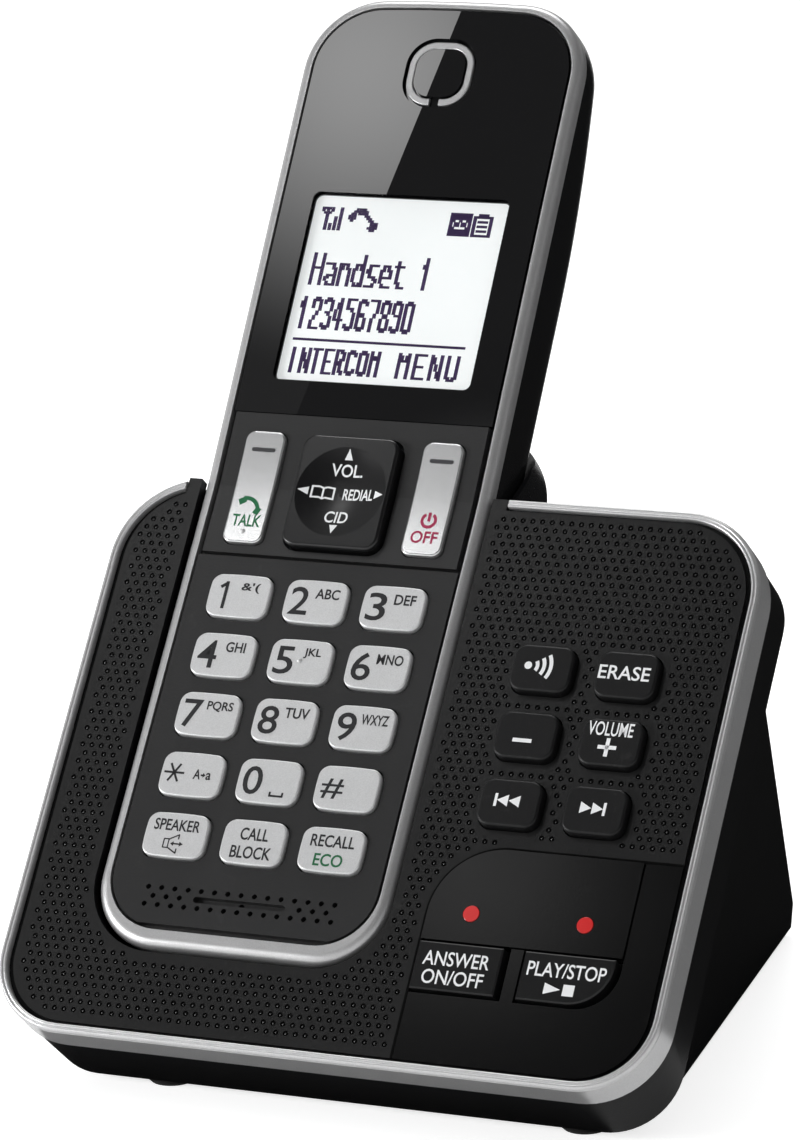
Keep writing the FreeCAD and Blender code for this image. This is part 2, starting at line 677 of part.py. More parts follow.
def receiver_ring():
    floor = -RING_GROOVE_DEPTH + SEAT
    ring = ring_form(0, floor, floor + RING_THICK)
    ring = ring.makeFillet(RING_THICK / 2.5, edges_at(ring, floor + RING_THICK))
    low = BEND_Y + RING_CENTRE - RING_SIZE
    gap = block(-RING_GAP / 2, RING_GAP / 2, low, BEND_Y + RING_CENTRE, -FAR, FAR)
    return above_bend(ring.cut(gap))


# ---------------------------------------------------------------- handset keys
def bulged_face(x, y, width, height, z):
    """Key outline with four slightly bulging sides."""
    w, h = width / 2, height / 2
    corners = [Vector(x + i * w, y + j * h, z) for i, j in ((-1, -1), (1, -1), (1, 1), (-1, 1))]
    middles = [Vector(x, y - h - KEY_BULGE, z), Vector(x + w + KEY_BULGE, y, z),
               Vector(x, y + h + KEY_BULGE, z), Vector(x - w - KEY_BULGE, y, z)]
    edges = [Part.Arc(corners[i], middles[i], corners[(i + 1) % 4]).toShape() for i in range(4)]
    return Part.Face(Part.Wire(edges))


def key_outline(x, y, gap, z0, z1):
    """Column with the outline of a keypad key, widened by gap."""
    width = KEY_WIDTH - 2 * KEY_BULGE + 2 * gap
    height = KEY_HEIGHT - 2 * KEY_BULGE + 2 * gap
    solid = bulged_face(x, y, width, height, z0).extrude(Vector(0, 0, z1 - z0))
    upright = [e for e in solid.Edges if e.BoundBox.ZLength > 0.5 * (z1 - z0)]
    return solid.makeFillet(KEY_CORNER + gap, upright)


def keypad_key(x, y):
    """Silver key with a rounded top edge and a flange that holds it behind the case."""
    flange_top = -FRONT_CASE_DEPTH - SEAT
    cap = key_outline(x, y, 0, flange_top, KEY_PROUD)
    cap = round_edges_at(cap, KEY_PROUD, KEY_ROUND)
    flange = centred_block(x, y, KEY_WIDTH + 2 * KEY_FLANGE, KEY_HEIGHT + 2 * KEY_FLANGE,
                           flange_top - KEY_FLANGE_THICK, flange_top, KEY_CORNER)
    return cap.fuse(flange)


def talk_or_off_key(side):
    """Long key whose top is hollowed lengthwise, so that it follows the bend."""
    x, y = side * TALK_X, BEND_Y + TALK_CENTRE
    flange_top = -FRONT_CASE_DEPTH - SEAT
    high = TALK_PROUD + TALK_HOLLOW
    cap = centred_block(x, y, TALK_WIDTH, TALK_HEIGHT, flange_top, high, TALK_CORNER)
    half = TALK_HEIGHT / 2
    radius = (half * half + TALK_HOLLOW * TALK_HOLLOW) / (2 * TALK_HOLLOW)
    scoop = Part.makeCylinder(radius, 2 * TALK_WIDTH, Vector(x - TALK_WIDTH, y, TALK_PROUD + radius),
                              Vector(1, 0, 0))
    cap = cap.cut(scoop)
    top_edges = [e for e in cap.Edges if e.BoundBox.ZMin > TALK_PROUD - 0.01]
    cap = cap.makeFillet(KEY_ROUND, top_edges)
    flange = centred_block(x, y, TALK_WIDTH + KEY_FLANGE, TALK_HEIGHT + KEY_FLANGE,
                           flange_top - KEY_FLANGE_THICK, flange_top, TALK_CORNER)
    return across_bend(cap.fuse(flange))


def navigator_key():
    """Four-way key with a round dish in its top, standing on a ball pivot."""
    x, y = 0, BEND_Y + NAV_CENTRE
    cap = centred_block(x, y, NAV_WIDTH, NAV_HEIGHT, -NAV_BODY_DEPTH, NAV_PROUD, NAV_CORNER)
    cap = round_edges_at(cap, NAV_PROUD, NAV_ROUND)
    sphere = (NAV_DISH_RADIUS ** 2 + NAV_DISH_DEPTH ** 2) / (2 * NAV_DISH_DEPTH)
    dish = Part.makeSphere(sphere, Vector(x, y, NAV_PROUD + sphere - NAV_DISH_DEPTH))
    socket = Part.makeSphere(PIVOT_RADIUS + PIN_FIT, Vector(x, y, -PIVOT_DEPTH))
    return across_bend(cap.cut(dish).cut(socket))


def navigator_pivot():
    """Ball under the navigator key."""
    ball = Part.makeSphere(PIVOT_RADIUS, Vector(0, BEND_Y + NAV_CENTRE, -PIVOT_DEPTH))
    return across_bend(ball)


# ---------------------------------------------------------------- inside the handset
MAT_TOP = -(FRONT_CASE_DEPTH + SEAT + KEY_FLANGE_THICK + KEY_TRAVEL + SEAT)
BOARD_TOP = MAT_TOP - MAT_THICK - SEAT


def handset_key_mat():
    low = FIRST_KEY_ROW - (len(KEY_ROWS) - 0.5) * KEY_PITCH_Y
    high = BEND_Y + PANEL_ABOVE_BEND
    half = HALF_HANDSET - 2 * HANDSET_WALL
    mat = bent(block(-half, half, low, high, MAT_TOP - MAT_THICK, MAT_TOP))
    for well in function_wells(-NAV_CORNER, KEY_FLANGE)[1:]:
        mat = mat.cut(well)
    for side in (-1, 1):
        mat = mat.cut(rod(side * SCREW_X, SCREW_Y, -FAR, FAR, BOSS_RADIUS + SLIP))
    return mat


def handset_board():
    low = FIRST_KEY_ROW - (len(KEY_ROWS) - 0.5) * KEY_PITCH_Y
    high = HANDSET_TOP - HANDSET_CORNER
    half = HALF_HANDSET - 2 * HANDSET_WALL
    board = bent(block(-half, half, low, high, BOARD_TOP - BOARD_THICK, BOARD_TOP))
    for side in (-1, 1):
        board = board.cut(rod(side * SCREW_X, SCREW_Y, -FAR, FAR, BOSS_RADIUS + SLIP))
    return board


def display_module():
    """Display glass in its frame, between the lens and the board."""
    y = BEND_Y + WINDOW_BOTTOM + WINDOW_HEIGHT / 2
    glass = centred_block(0, y, WINDOW_WIDTH - 2 * SLIP, WINDOW_HEIGHT - 2 * SLIP,
                          -FRONT_CASE_DEPTH - SEAT, -FRONT_SKIN, WINDOW_CORNER)
    frame = centred_block(0, y, WINDOW_WIDTH + 2 * MODULE_FRAME, WINDOW_HEIGHT + 2 * MODULE_FRAME,
                          BOARD_TOP + SEAT, -FRONT_CASE_DEPTH - SEAT, WINDOW_CORNER)
    return above_bend(glass.fuse(frame))


def receiver_capsule():
    y = BEND_Y + RING_CENTRE
    top = -FRONT_CASE_DEPTH - SEAT
    return above_bend(rod(0, y, BOARD_TOP + SEAT, top, CAPSULE_RADIUS))


def microphone():
    top = -FRONT_CASE_DEPTH - SEAT
    return rod(0, MIC_ROW, top - MIC_DEPTH, top, MIC_RADIUS)


def ringer():
    """Loudspeaker of the handset, against the slots in its back."""
    back = -HANDSET_DEPTH + HANDSET_WALL + SEAT + RINGER_SEAT
    return above_bend(rod(0, RINGER_Y, back, back + RINGER_HEIGHT, RINGER_RADIUS))


def battery_cells():
    cells = []
    for side in (-1, 1):
        x = side * (CELL_RADIUS + CELL_GAP / 2)
        can = CELL_LENGTH - CELL_TIP
        tip_y, can_y = CELL_START + can, CELL_START
        if side > 0:
            tip_y, can_y = CELL_START, CELL_START + CELL_TIP
        along = Vector(0, 1, 0)
        body = Part.makeCylinder(CELL_RADIUS, can, Vector(x, can_y, -CELL_AXIS_DEPTH), along)
        cap = Part.makeCylinder(CELL_RADIUS / 3, CELL_TIP, Vector(x, tip_y, -CELL_AXIS_DEPTH), along)
        cells.append(body.fuse(cap))
    return Part.makeCompound(cells)


def handset_contacts():
    """Two charge plates in the back, and a plate at each end of the battery bay."""
    plates = [charge_plate(side) for side in (-1, 1)]
    half = 2 * CELL_RADIUS
    low = CELL_START - BAY_END + SEAT
    high = CELL_START + CELL_LENGTH + BAY_END - SEAT - CONTACT_THICK
    for y in (low, high):
        plates.append(block(-half, half, y, y + CONTACT_THICK,
                            -CELL_AXIS_DEPTH - CELL_RADIUS / 2, -BAY_DEPTH - BAY_WALL - SEAT))
    return Part.makeCompound(plates)


def handset_screws():
    screws = []
    for side in (-1, 1):
        head = rod(side * SCREW_X, SCREW_Y, screw_seat() - SCREW_HEAD_THICK, screw_seat() - SEAT, SCREW_HEAD)
        shank = rod(side * SCREW_X, SCREW_Y, screw_seat() - SEAT, -FRONT_CASE_DEPTH - SEAT - BAND_DEPTH,
                    SCREW_RADIUS)
        screws.append(head.fuse(shank))
    return Part.makeCompound(screws)


# ---------------------------------------------------------------- base: face
def face_outline(inset, z):
    """Outline of the face, drawn in by inset, at height z; its upper corners are rounder."""
    low, high = FACE_CORNER - inset, FACE_TOP_CORNER - inset
    wire = rounded_outline(-FACE_WIDTH / 2 + inset, FACE_WIDTH / 2 - inset, inset, FACE_HEIGHT - inset,
                           (low, low, high, high))
    wire.translate(Vector(0, 0, z))
    return wire


def face_block(inset, z0, z1):
    return Part.Face(face_outline(inset, z0)).extrude(Vector(0, 0, z1 - z0))


def trim_rim():
    """Metallic rim round the face, flaring out to its back; it stops at both sides of the cradle."""
    half = FACE_WIDTH / 2 + RIM_FLARE
    corners = (FACE_CORNER, FACE_CORNER, FACE_TOP_CORNER, FACE_TOP_CORNER)
    back = rounded_outline(-half, half, 0, FACE_HEIGHT, corners)
    back.translate(Vector(0, 0, RIM_LOW))
    rim = Part.makeLoft([back, face_outline(0, RIM_PROUD)], True, True).cut(face_block(RIM_WIDTH, -FAR, FAR))
    rim = rim.makeFillet(RIM_ROUND, edges_at(rim, RIM_PROUD))
    gap = block(LIP_LEFT, LIP_RIGHT + SLIP, FACE_HEIGHT / 2, FAR, -FAR, FAR)
    return rim.cut(gap)


def cradle_space(z0, z1, gap=0.0):
    """Column of the cradle's mouth, open at the top of the face."""
    corner = CRADLE_CORNER + gap
    return rounded_block(CRADLE_LEFT - gap, CRADLE_RIGHT + gap, CRADLE_FOOT - gap, FAR, z0, z1,
                         (corner, corner, 0, 0))


def control_places():
    for row, names in enumerate(CONTROL_KEYS):
        for column, name in enumerate(names):
            yield name, CONTROL_X + column * CONTROL_PITCH_X, CONTROL_Y - row * CONTROL_PITCH_Y


def panel_form(gap, z0, z1):
    """Outline of the whole control area: a sweep at its upper left, a big corner at its lower right."""
    return rounded_block(PANEL_LEFT - gap, PANEL_RIGHT + gap, PANEL_BOTTOM - gap, PANEL_TOP + gap, z0, z1,
                         (0, PANEL_CORNER + gap, 0, PANEL_SWEEP + gap))


def front_cover():
    """Dotted black cover with the mouths of the cradle, the controls and the six keys."""
    cover = face_block(COVER_INSET, -COVER_THICK, 0)
    for x0, x1 in ((LIP_LEFT + SLIP, CRADLE_LEFT), (CRADLE_RIGHT, LIP_RIGHT - SLIP)):
        cover = cover.fuse(block(x0, x1, FACE_HEIGHT - FACE_TOP_CORNER, LIP_TOP, -COVER_THICK, 0))
    cover = cover.cut(cradle_space(-FAR, FAR)).cut(panel_form(SLIP, -FAR, FAR))
    for name, x, y in control_places():
        cover = cover.cut(control_outline(x, y, KEY_GAP, -FAR, FAR))
    for x, y in upper_posts():
        cover = cover.fuse(rod(x, y, board_top() + SEAT, -COVER_THICK, POST_RADIUS))
    holder = rod(SPEAKER_X, SPEAKER_Y, -2 * COVER_THICK, -COVER_THICK, SPEAKER_RADIUS + SPEAKER_RING)
    cover = cover.fuse(holder.cut(rod(SPEAKER_X, SPEAKER_Y, -FAR, FAR, SPEAKER_RADIUS + SLIP)))
    return cover.removeSplitter()


def control_outline(x, y, gap, z0, z1):
    return centred_block(x, y, CONTROL_WIDTH + 2 * gap, CONTROL_HEIGHT + 2 * gap, z0, z1,
                         CONTROL_CORNER + gap)


def control_key(x, y):
    """Raised rubber key with a flange behind the cover."""
    flange_top = -COVER_THICK - SEAT
    cap = round_edges_at(control_outline(x, y, 0, flange_top, CONTROL_PROUD), CONTROL_PROUD, CONTROL_ROUND)
    flange = control_outline(x, y, KEY_FLANGE, flange_top - KEY_FLANGE_THICK, flange_top)
    return cap.fuse(flange)


def bar_outline(left, right, corner, gap, z0, z1):
    return rounded_block(left - gap, right + gap, BAR_BOTTOM - gap, BAR_TOP + gap, z0, z1,
                         (0, corner, 0, 0))


def bar_key(left, right, corner):
    """Wide key of the control panel, flat on top, with a square or swept corner."""
    flange_top = -COVER_THICK - SEAT
    cap = bar_outline(left, right, corner, 0, flange_top, BAR_PROUD)
    cap = cap.makeChamfer(CONTROL_ROUND / 2, edges_at(cap, BAR_PROUD))
    flange = bar_outline(left, right, corner, KEY_FLANGE / 2, flange_top - KEY_FLANGE_THICK, flange_top)
    return cap.fuse(flange)


def light_panel_form(gap, z0, z1):
    return rounded_block(PANEL_LEFT - gap, LIGHT_PANEL_RIGHT + gap, LIGHT_PANEL_BOTTOM - gap,
                         PANEL_TOP + gap, z0, z1, (0, 0, 0, PANEL_SWEEP + gap))


def indicator_panel():
    """Satin panel that carries the two lights."""
    panel = light_panel_form(0, -COVER_THICK, LIGHT_PANEL_PROUD)
    for x in LIGHT_X:
        panel = panel.cut(rod(x, LIGHT_Y, -FAR, FAR, LIGHT_RADIUS + PIN_FIT))
    return panel


def control_panel():
    """Surround of the control area, with wells for the light panel and the two bar keys."""
    panel = panel_form(0, -COVER_THICK, 0)
    well = rounded_block(PANEL_LEFT - 1, LIGHT_PANEL_RIGHT + SLIP, BAR_WELL_BOTTOM, PANEL_TOP + 1,
                         -FAR, FAR, (0, PLAY_CORNER, 0, 0))
    panel = panel.cut(well).fuse(bar_divider())
    for x, y in lower_posts():
        panel = panel.fuse(rod(x, y, board_top() + SEAT, -COVER_THICK, POST_RADIUS))
    return panel.removeSplitter()


def bar_divider():
    """Fixed bar between the two wide keys."""
    left = ANSWER_RIGHT + 2 * KEY_GAP + KEY_FLANGE / 2
    right = PLAY_LEFT - KEY_GAP - KEY_FLANGE / 2
    return block(left, right, BAR_WELL_BOTTOM - 0.5, LIGHT_PANEL_BOTTOM - SLIP, -COVER_THICK, 0)


def indicator_lights():
    """Two red light guides that stand on the board."""
    guides = [round_edges_at(rod(x, LIGHT_Y, board_top() + 3 * SEAT, LIGHT_PANEL_PROUD + LIGHT_PROUD,
                                 LIGHT_RADIUS), LIGHT_PANEL_PROUD + LIGHT_PROUD, LIGHT_PROUD * 0.9)
              for x in LIGHT_X]
    return Part.makeCompound(guides)


# ---------------------------------------------------------------- base: inside
def base_mat_top():
    return -(COVER_THICK + SEAT + KEY_FLANGE_THICK + CONTROL_TRAVEL + SEAT)


def board_top():
    return base_mat_top() - BASE_MAT_THICK - SEAT


def board_form(z0, z1):
    """Outline shared by the board and the mat, clear of the housing's rounded corner."""
    return rounded_block(BASE_BOARD_LEFT, BASE_BOARD_RIGHT, BASE_BOARD_BOTTOM, BASE_BOARD_TOP, z0, z1,
                         (0, BASE_BOARD_CORNER, 0, 0))


def upper_posts():
    """Places of the posts under the dotted cover, beside the top row of keys."""
    y = BASE_BOARD_TOP - POST_INSET
    return [(BASE_BOARD_LEFT + POST_INSET, y), (BASE_BOARD_RIGHT - POST_INSET, y)]


def lower_posts():
    """Places of the posts under the control panel's lower strip."""
    y = (PANEL_BOTTOM + BAR_WELL_BOTTOM) / 2
    return [(PANEL_LEFT + POST_INSET, y), (PANEL_RIGHT - PANEL_CORNER, y)]


def board_corners():
    return upper_posts() + lower_posts()


def base_board():
    return board_form(board_top() - BASE_BOARD_THICK, board_top())


def base_key_mat():
    mat = board_form(base_mat_top() - BASE_MAT_THICK, base_mat_top())
    for x, y in board_corners():
        mat = mat.cut(rod(x, y, -FAR, FAR, POST_RADIUS + SLIP))
    for x in LIGHT_X:
        mat = mat.cut(rod(x, LIGHT_Y, -FAR, FAR, LIGHT_RADIUS + KEY_GAP))
    return mat


def base_speaker():
    """Loudspeaker behind the cover: basket, and a smaller magnet at its back."""
    top = -COVER_THICK - SEAT
    basket = rod(SPEAKER_X, SPEAKER_Y, top - SPEAKER_HEIGHT / 2, top, SPEAKER_RADIUS)
    magnet = rod(SPEAKER_X, SPEAKER_Y, top - SPEAKER_HEIGHT, top - SPEAKER_HEIGHT / 2, SPEAKER_RADIUS / 2)
    return basket.fuse(magnet)


def cradle_tray():
    """Trough that holds the handset; its floor rises behind the handset as a back rest."""
    wall = CRADLE_WALL
    corner = CRADLE_CORNER + wall
    low = CRADLE_FLOOR - wall
    outer = rounded_block(CRADLE_LEFT - wall, CRADLE_RIGHT + wall, CRADLE_FOOT - wall, CRADLE_BACK_TOP,
                          low, -COVER_THICK - SEAT, (corner, corner, CRADLE_TOP_CORNER, CRADLE_TOP_CORNER))
    outer = round_edges_at(outer, low, CRADLE_OUTER_ROUND)
    space = cradle_space(CRADLE_FLOOR, FAR)
    floor_edges = [e for e in edges_at(space, CRADLE_FLOOR) if e.BoundBox.YMin < FAR - 1]
    space = space.makeFillet(CRADLE_INNER_ROUND, floor_edges)
    tray = outer.cut(space)
    tray = tray.cut(shoulder_cut()).cut(beside_back_rest())
    for side in (-1, 1):
        x = HANDSET_OFFSET + side * CHARGE_X
        tray = tray.cut(rod(x, CHARGE_Y, -FAR, 0, CHARGE_PIN_RADIUS + PIN_FIT))
        pad_x = HANDSET_OFFSET + side * HANDSET_WIDTH / 5
        pad = block(pad_x - REST_PAD_WIDTH / 2, pad_x + REST_PAD_WIDTH / 2, CRADLE_FOOT - wall / 2,
                    HANDSET_FOOT - REST_PAD_GAP, -HANDSET_DEPTH / 2, -HANDSET_DEPTH / 4)
        tray = tray.fuse(pad)
    return tray.removeSplitter()


def shoulder_cut():
    """Space in front of the back rest: the side walls fall away behind the top of the face."""
    top = FACE_HEIGHT - HOUSING_WALL / 2
    points = [(top, FAR), (top, -COVER_THICK - SEAT - 2), (CRADLE_BACK_TOP, -CRADLE_SHOULDER),
              (FAR, -CRADLE_SHOULDER), (FAR, FAR)]
    return side_profile(points, FACE_WIDTH)


def beside_back_rest():
    """Space at both sides of the back rest, which is narrower than the trough below it."""
    outer = block(-FAR, FAR, FACE_HEIGHT, FAR, -FAR, FAR)
    left = CRADLE_LEFT - CRADLE_WALL + BACK_REST_INSET
    right = CRADLE_RIGHT + CRADLE_WALL - BACK_REST_INSET
    corners = (0, 0, CRADLE_TOP_CORNER, CRADLE_TOP_CORNER)
    return outer.cut(rounded_block(left, right, 0, CRADLE_BACK_TOP, -FAR, FAR, corners))


def charge_pin(side):
    """Sprung contact pin that stands through the floor of the cradle."""
    x = HANDSET_OFFSET + side * CHARGE_X
    tip = -(HANDSET_DEPTH - charge_rise()) - REST_PAD_GAP - SEAT
    floor_back = CRADLE_FLOOR - CRADLE_WALL
    pin = rod(x, CHARGE_Y, tip - CHARGE_PIN_LENGTH, tip, CHARGE_PIN_RADIUS)
    pin = pin.makeFillet(CHARGE_PIN_RADIUS * 0.6, edges_at(pin, tip))
    flange_top = floor_back - SEAT
    flange = rod(x, CHARGE_Y, flange_top - CHARGE_PIN_FLANGE_THICK, flange_top, CHARGE_PIN_FLANGE)
    return pin.fuse(flange)


# ---------------------------------------------------------------- base: rear housing
def wedge_form(inset, z_front):
    """Body behind the face: its sides close in towards the back, its underside is flat on the desk."""
    lean = math.radians(FACE_LEAN)
    draft = math.tan(math.radians(WEDGE_DRAFT))

    def section(z):
        half = FACE_WIDTH / 2 - WEDGE_INSET - inset - draft * (-z - SLAB_DEPTH)
        corner = WEDGE_CORNER - inset
        wire = rounded_outline(-half, half, inset, 1.5 * FACE_HEIGHT, (corner,) * 4)
        wire.translate(Vector(0, 0, z))
        return wire

    sleeve = on_desk(Part.makeLoft([section(z_front), section(-1.1 * BASE_DEPTH)], True, True))
    y_top, z_top = face_to_desk(BACK_SLOPE_TOP, -SLAB_DEPTH)
    rear = BASE_DEPTH - inset
    wall_top = UNDERSIDE + REAR_WALL_HEIGHT
    slope = (z_top - wall_top) / (BASE_DEPTH - y_top)
    drop = inset * math.sqrt(1 + slope * slope)
    ahead = 2 * SLAB_DEPTH
    points = [(-ahead, UNDERSIDE), (rear, UNDERSIDE), (rear, wall_top - drop + slope * inset),
              (y_top - ahead, z_top + slope * ahead - drop)]
    return sleeve.common(side_profile(points, FACE_WIDTH))


def slab_form(inset, z0, z1):
    return on_desk(face_block(inset, z0, z1))


def slab_skirt(z_back, z_front):
    """Side walls behind the rim, closing in a little towards the back."""
    half = FACE_WIDTH / 2 - SLAB_BACK_INSET
    back = rounded_outline(-half, half, 0, FACE_HEIGHT - SLAB_BACK_TOP_INSET, (SLAB_BACK_CORNER,) * 4)
    back.translate(Vector(0, 0, z_back))
    return on_desk(Part.makeLoft([back, face_outline(0, z_front)], True, True))


def socket_bay(grow):
    """Recess in the back slope for the two sockets."""
    half = SOCKET_BAY_WIDTH / 2 + grow
    return block(-half, half, SOCKET_BAY_FRONT - grow, FAR, BAY_FLOOR - grow, FAR / 2)


def rear_housing():
    """Black housing: side walls of the face, and the wedge that stands on the desk."""
    wall = HOUSING_WALL
    back = -SLAB_DEPTH
    outer = slab_skirt(back, RIM_LOW - SEAT)
    outer = outer.fuse(slab_form(HOUSING_INSET - wall, back / 2, -COVER_THICK - SEAT))
    outer = outer.fuse(wedge_form(0, back + wall / 2)).removeSplitter()
    space = slab_form(HOUSING_INSET, back + wall, FAR)
    space = space.fuse(wedge_form(wall, back + 2 * wall))
    y_low, z_low = face_to_desk(0, back)
    hatch = block(-FAR, FAR, y_low + 1.5 * wall, FAR, -FAR, UNDERSIDE + 2 * BOTTOM_THICK)
    space = space.fuse(moved(wedge_form(wall, back + 2 * wall), z=-BOTTOM_THICK).common(hatch))
    space = space.cut(socket_bay(wall))
    for x, y in foot_places():
        space = space.cut(foot_boss(x, y))
    housing = outer.cut(space).cut(socket_bay(0))
    for x, y in foot_places():
        housing = housing.cut(rod(x, y, -FAR, UNDERSIDE + FOOT_SUNK, FOOT_RADIUS + SLIP))
        housing = housing.cut(rod(x, y, -FAR, screw_tip(), SCREW_RADIUS + SLIP))
    tray_room = rounded_block(CRADLE_LEFT - CRADLE_WALL - SLIP, CRADLE_RIGHT + CRADLE_WALL + SLIP,
                              CRADLE_FOOT - CRADLE_WALL - SLIP, FAR, CRADLE_FLOOR - CRADLE_WALL - SLIP, FAR,
                              (CRADLE_CORNER, CRADLE_CORNER, 0, 0))
    housing = housing.cut(on_desk(tray_room))
    housing = housing.cut(line_mouth(SLIP)).cut(power_mouth())
    return housing.removeSplitter()


def foot_boss(x, y):
    """Screw boss over a foot, held by a rib to the nearest end wall."""
    low = UNDERSIDE + BOTTOM_THICK + SEAT
    high = low + FOOT_BOSS_HEIGHT
    ahead = y < BASE_DEPTH / 2
    rib = block(x - BOTTOM_THICK / 2, x + BOTTOM_THICK / 2, 0 if ahead else y, y if ahead else FAR, low, high)
    return rod(x, y, low, high, BOSS_RADIUS).fuse(rib)


def screw_tip():
    return UNDERSIDE + BOTTOM_THICK + FOOT_SCREW_REACH


def foot_places():
    y_low, z_low = face_to_desk(0, -SLAB_DEPTH)
    front = y_low + FRONT_FOOT_SETBACK
    rear = BASE_DEPTH - REAR_FOOT_SETBACK
    left_x = LEFT_FOOT_INSET - FACE_WIDTH / 2
    right_x = FACE_WIDTH / 2 - RIGHT_FOOT_INSET
    rear_x = FACE_WIDTH / 2 - REAR_FOOT_INSET
    return [(left_x, front), (right_x, front), (-rear_x, rear), (rear_x, rear)]


def bottom_cover():
    """Flat plate let into the underside, with seats for the rubber feet."""
    gap = HOUSING_WALL + SLIP
    y_low, z_low = face_to_desk(0, -SLAB_DEPTH)
    slice_form = block(-FAR, FAR, y_low + 1.5 * HOUSING_WALL + SLIP, FAR, UNDERSIDE, UNDERSIDE + BOTTOM_THICK)
    plate = moved(wedge_form(gap, -SLAB_DEPTH + 2 * HOUSING_WALL), z=-BOTTOM_THICK / 2).common(slice_form)
    plate = plate.fuse(wedge_form(gap, -SLAB_DEPTH + 2 * HOUSING_WALL).common(slice_form)).removeSplitter()
    for x, y in foot_places():
        plate = plate.cut(rod(x, y, -FAR, UNDERSIDE + FOOT_SUNK, FOOT_RADIUS + SLIP))
        plate = plate.cut(rod(x, y, -FAR, UNDERSIDE + FOOT_SUNK + FOOT_SCREW_HEAD + SEAT, SCREW_HEAD + SLIP))
        plate = plate.cut(rod(x, y, -FAR, FAR, SCREW_RADIUS + SLIP))
    return plate


def rubber_feet():
    feet = []
    for x, y in foot_places():
        foot = rod(x, y, 0, UNDERSIDE + FOOT_SUNK - SEAT, FOOT_RADIUS)
        feet.append(foot.makeChamfer(FOOT_CHAMFER, edges_at(foot, 0)))
    return Part.makeCompound(feet)


# ---------------------------------------------------------------- base: sockets
def line_mouth(gap):
    width, height = LINE_MOUTH
    mouth = block(LINE_JACK_X - width / 2 - gap, LINE_JACK_X + width / 2 + gap,
                  SOCKET_BAY_FRONT - LINE_MOUTH_DEPTH, FAR,
                  BAY_FLOOR + SOCKET_HEIGHT - height / 2 - gap, BAY_FLOOR + SOCKET_HEIGHT + height / 2 + gap)
    latch = block(LINE_JACK_X - LATCH_WIDTH / 2 - gap, LINE_JACK_X + LATCH_WIDTH / 2 + gap,
                  SOCKET_BAY_FRONT - LINE_MOUTH_DEPTH, FAR,
                  BAY_FLOOR + SOCKET_HEIGHT - height / 2 - LATCH_HEIGHT - gap,
                  BAY_FLOOR + SOCKET_HEIGHT)
    return mouth.fuse(latch)


def power_mouth():
    return Part.makeCylinder(POWER_BORE + SLIP, FAR, Vector(POWER_JACK_X, SOCKET_BAY_FRONT - HOUSING_WALL - 1,
                                                          BAY_FLOOR + SOCKET_HEIGHT), Vector(0, 1, 0))


def jack_body(x, size):
    width, depth, height = size
    rear = SOCKET_BAY_FRONT - HOUSING_WALL - SEAT
    middle = BAY_FLOOR + SOCKET_HEIGHT - height / 8
    return block(x - width / 2, x + width / 2, rear - depth, rear, middle - height / 2, middle + height / 2)


def line_jack():
    """Telephone socket with a slot for the plug's latch."""
    return jack_body(LINE_JACK_X, LINE_JACK_SIZE).cut(line_mouth(0))


def power_jack():
    """Low-voltage socket with its centre pin."""
    y = SOCKET_BAY_FRONT - HOUSING_WALL - SEAT
    z = BAY_FLOOR + SOCKET_HEIGHT
    back = Vector(0, -1, 0)
    bore = Part.makeCylinder(POWER_BORE, POWER_BORE_DEPTH, Vector(POWER_JACK_X, y, z), back)
    pin = Part.makeCylinder(POWER_PIN, POWER_BORE_DEPTH, Vector(POWER_JACK_X, y - 1, z), back)
    return jack_body(POWER_JACK_X, POWER_JACK_SIZE).cut(bore).fuse(pin)


def base_screws():
    """Screws that hold the bottom cover, under the rubber feet."""
    screws = []
    for x, y in foot_places():
        head_low = UNDERSIDE + FOOT_SUNK + SEAT / 2
        head = rod(x, y, head_low, head_low + FOOT_SCREW_HEAD, SCREW_HEAD)
        screws.append(head.fuse(rod(x, y, head_low, screw_tip() - SEAT, SCREW_RADIUS)))
    return Part.makeCompound(screws)


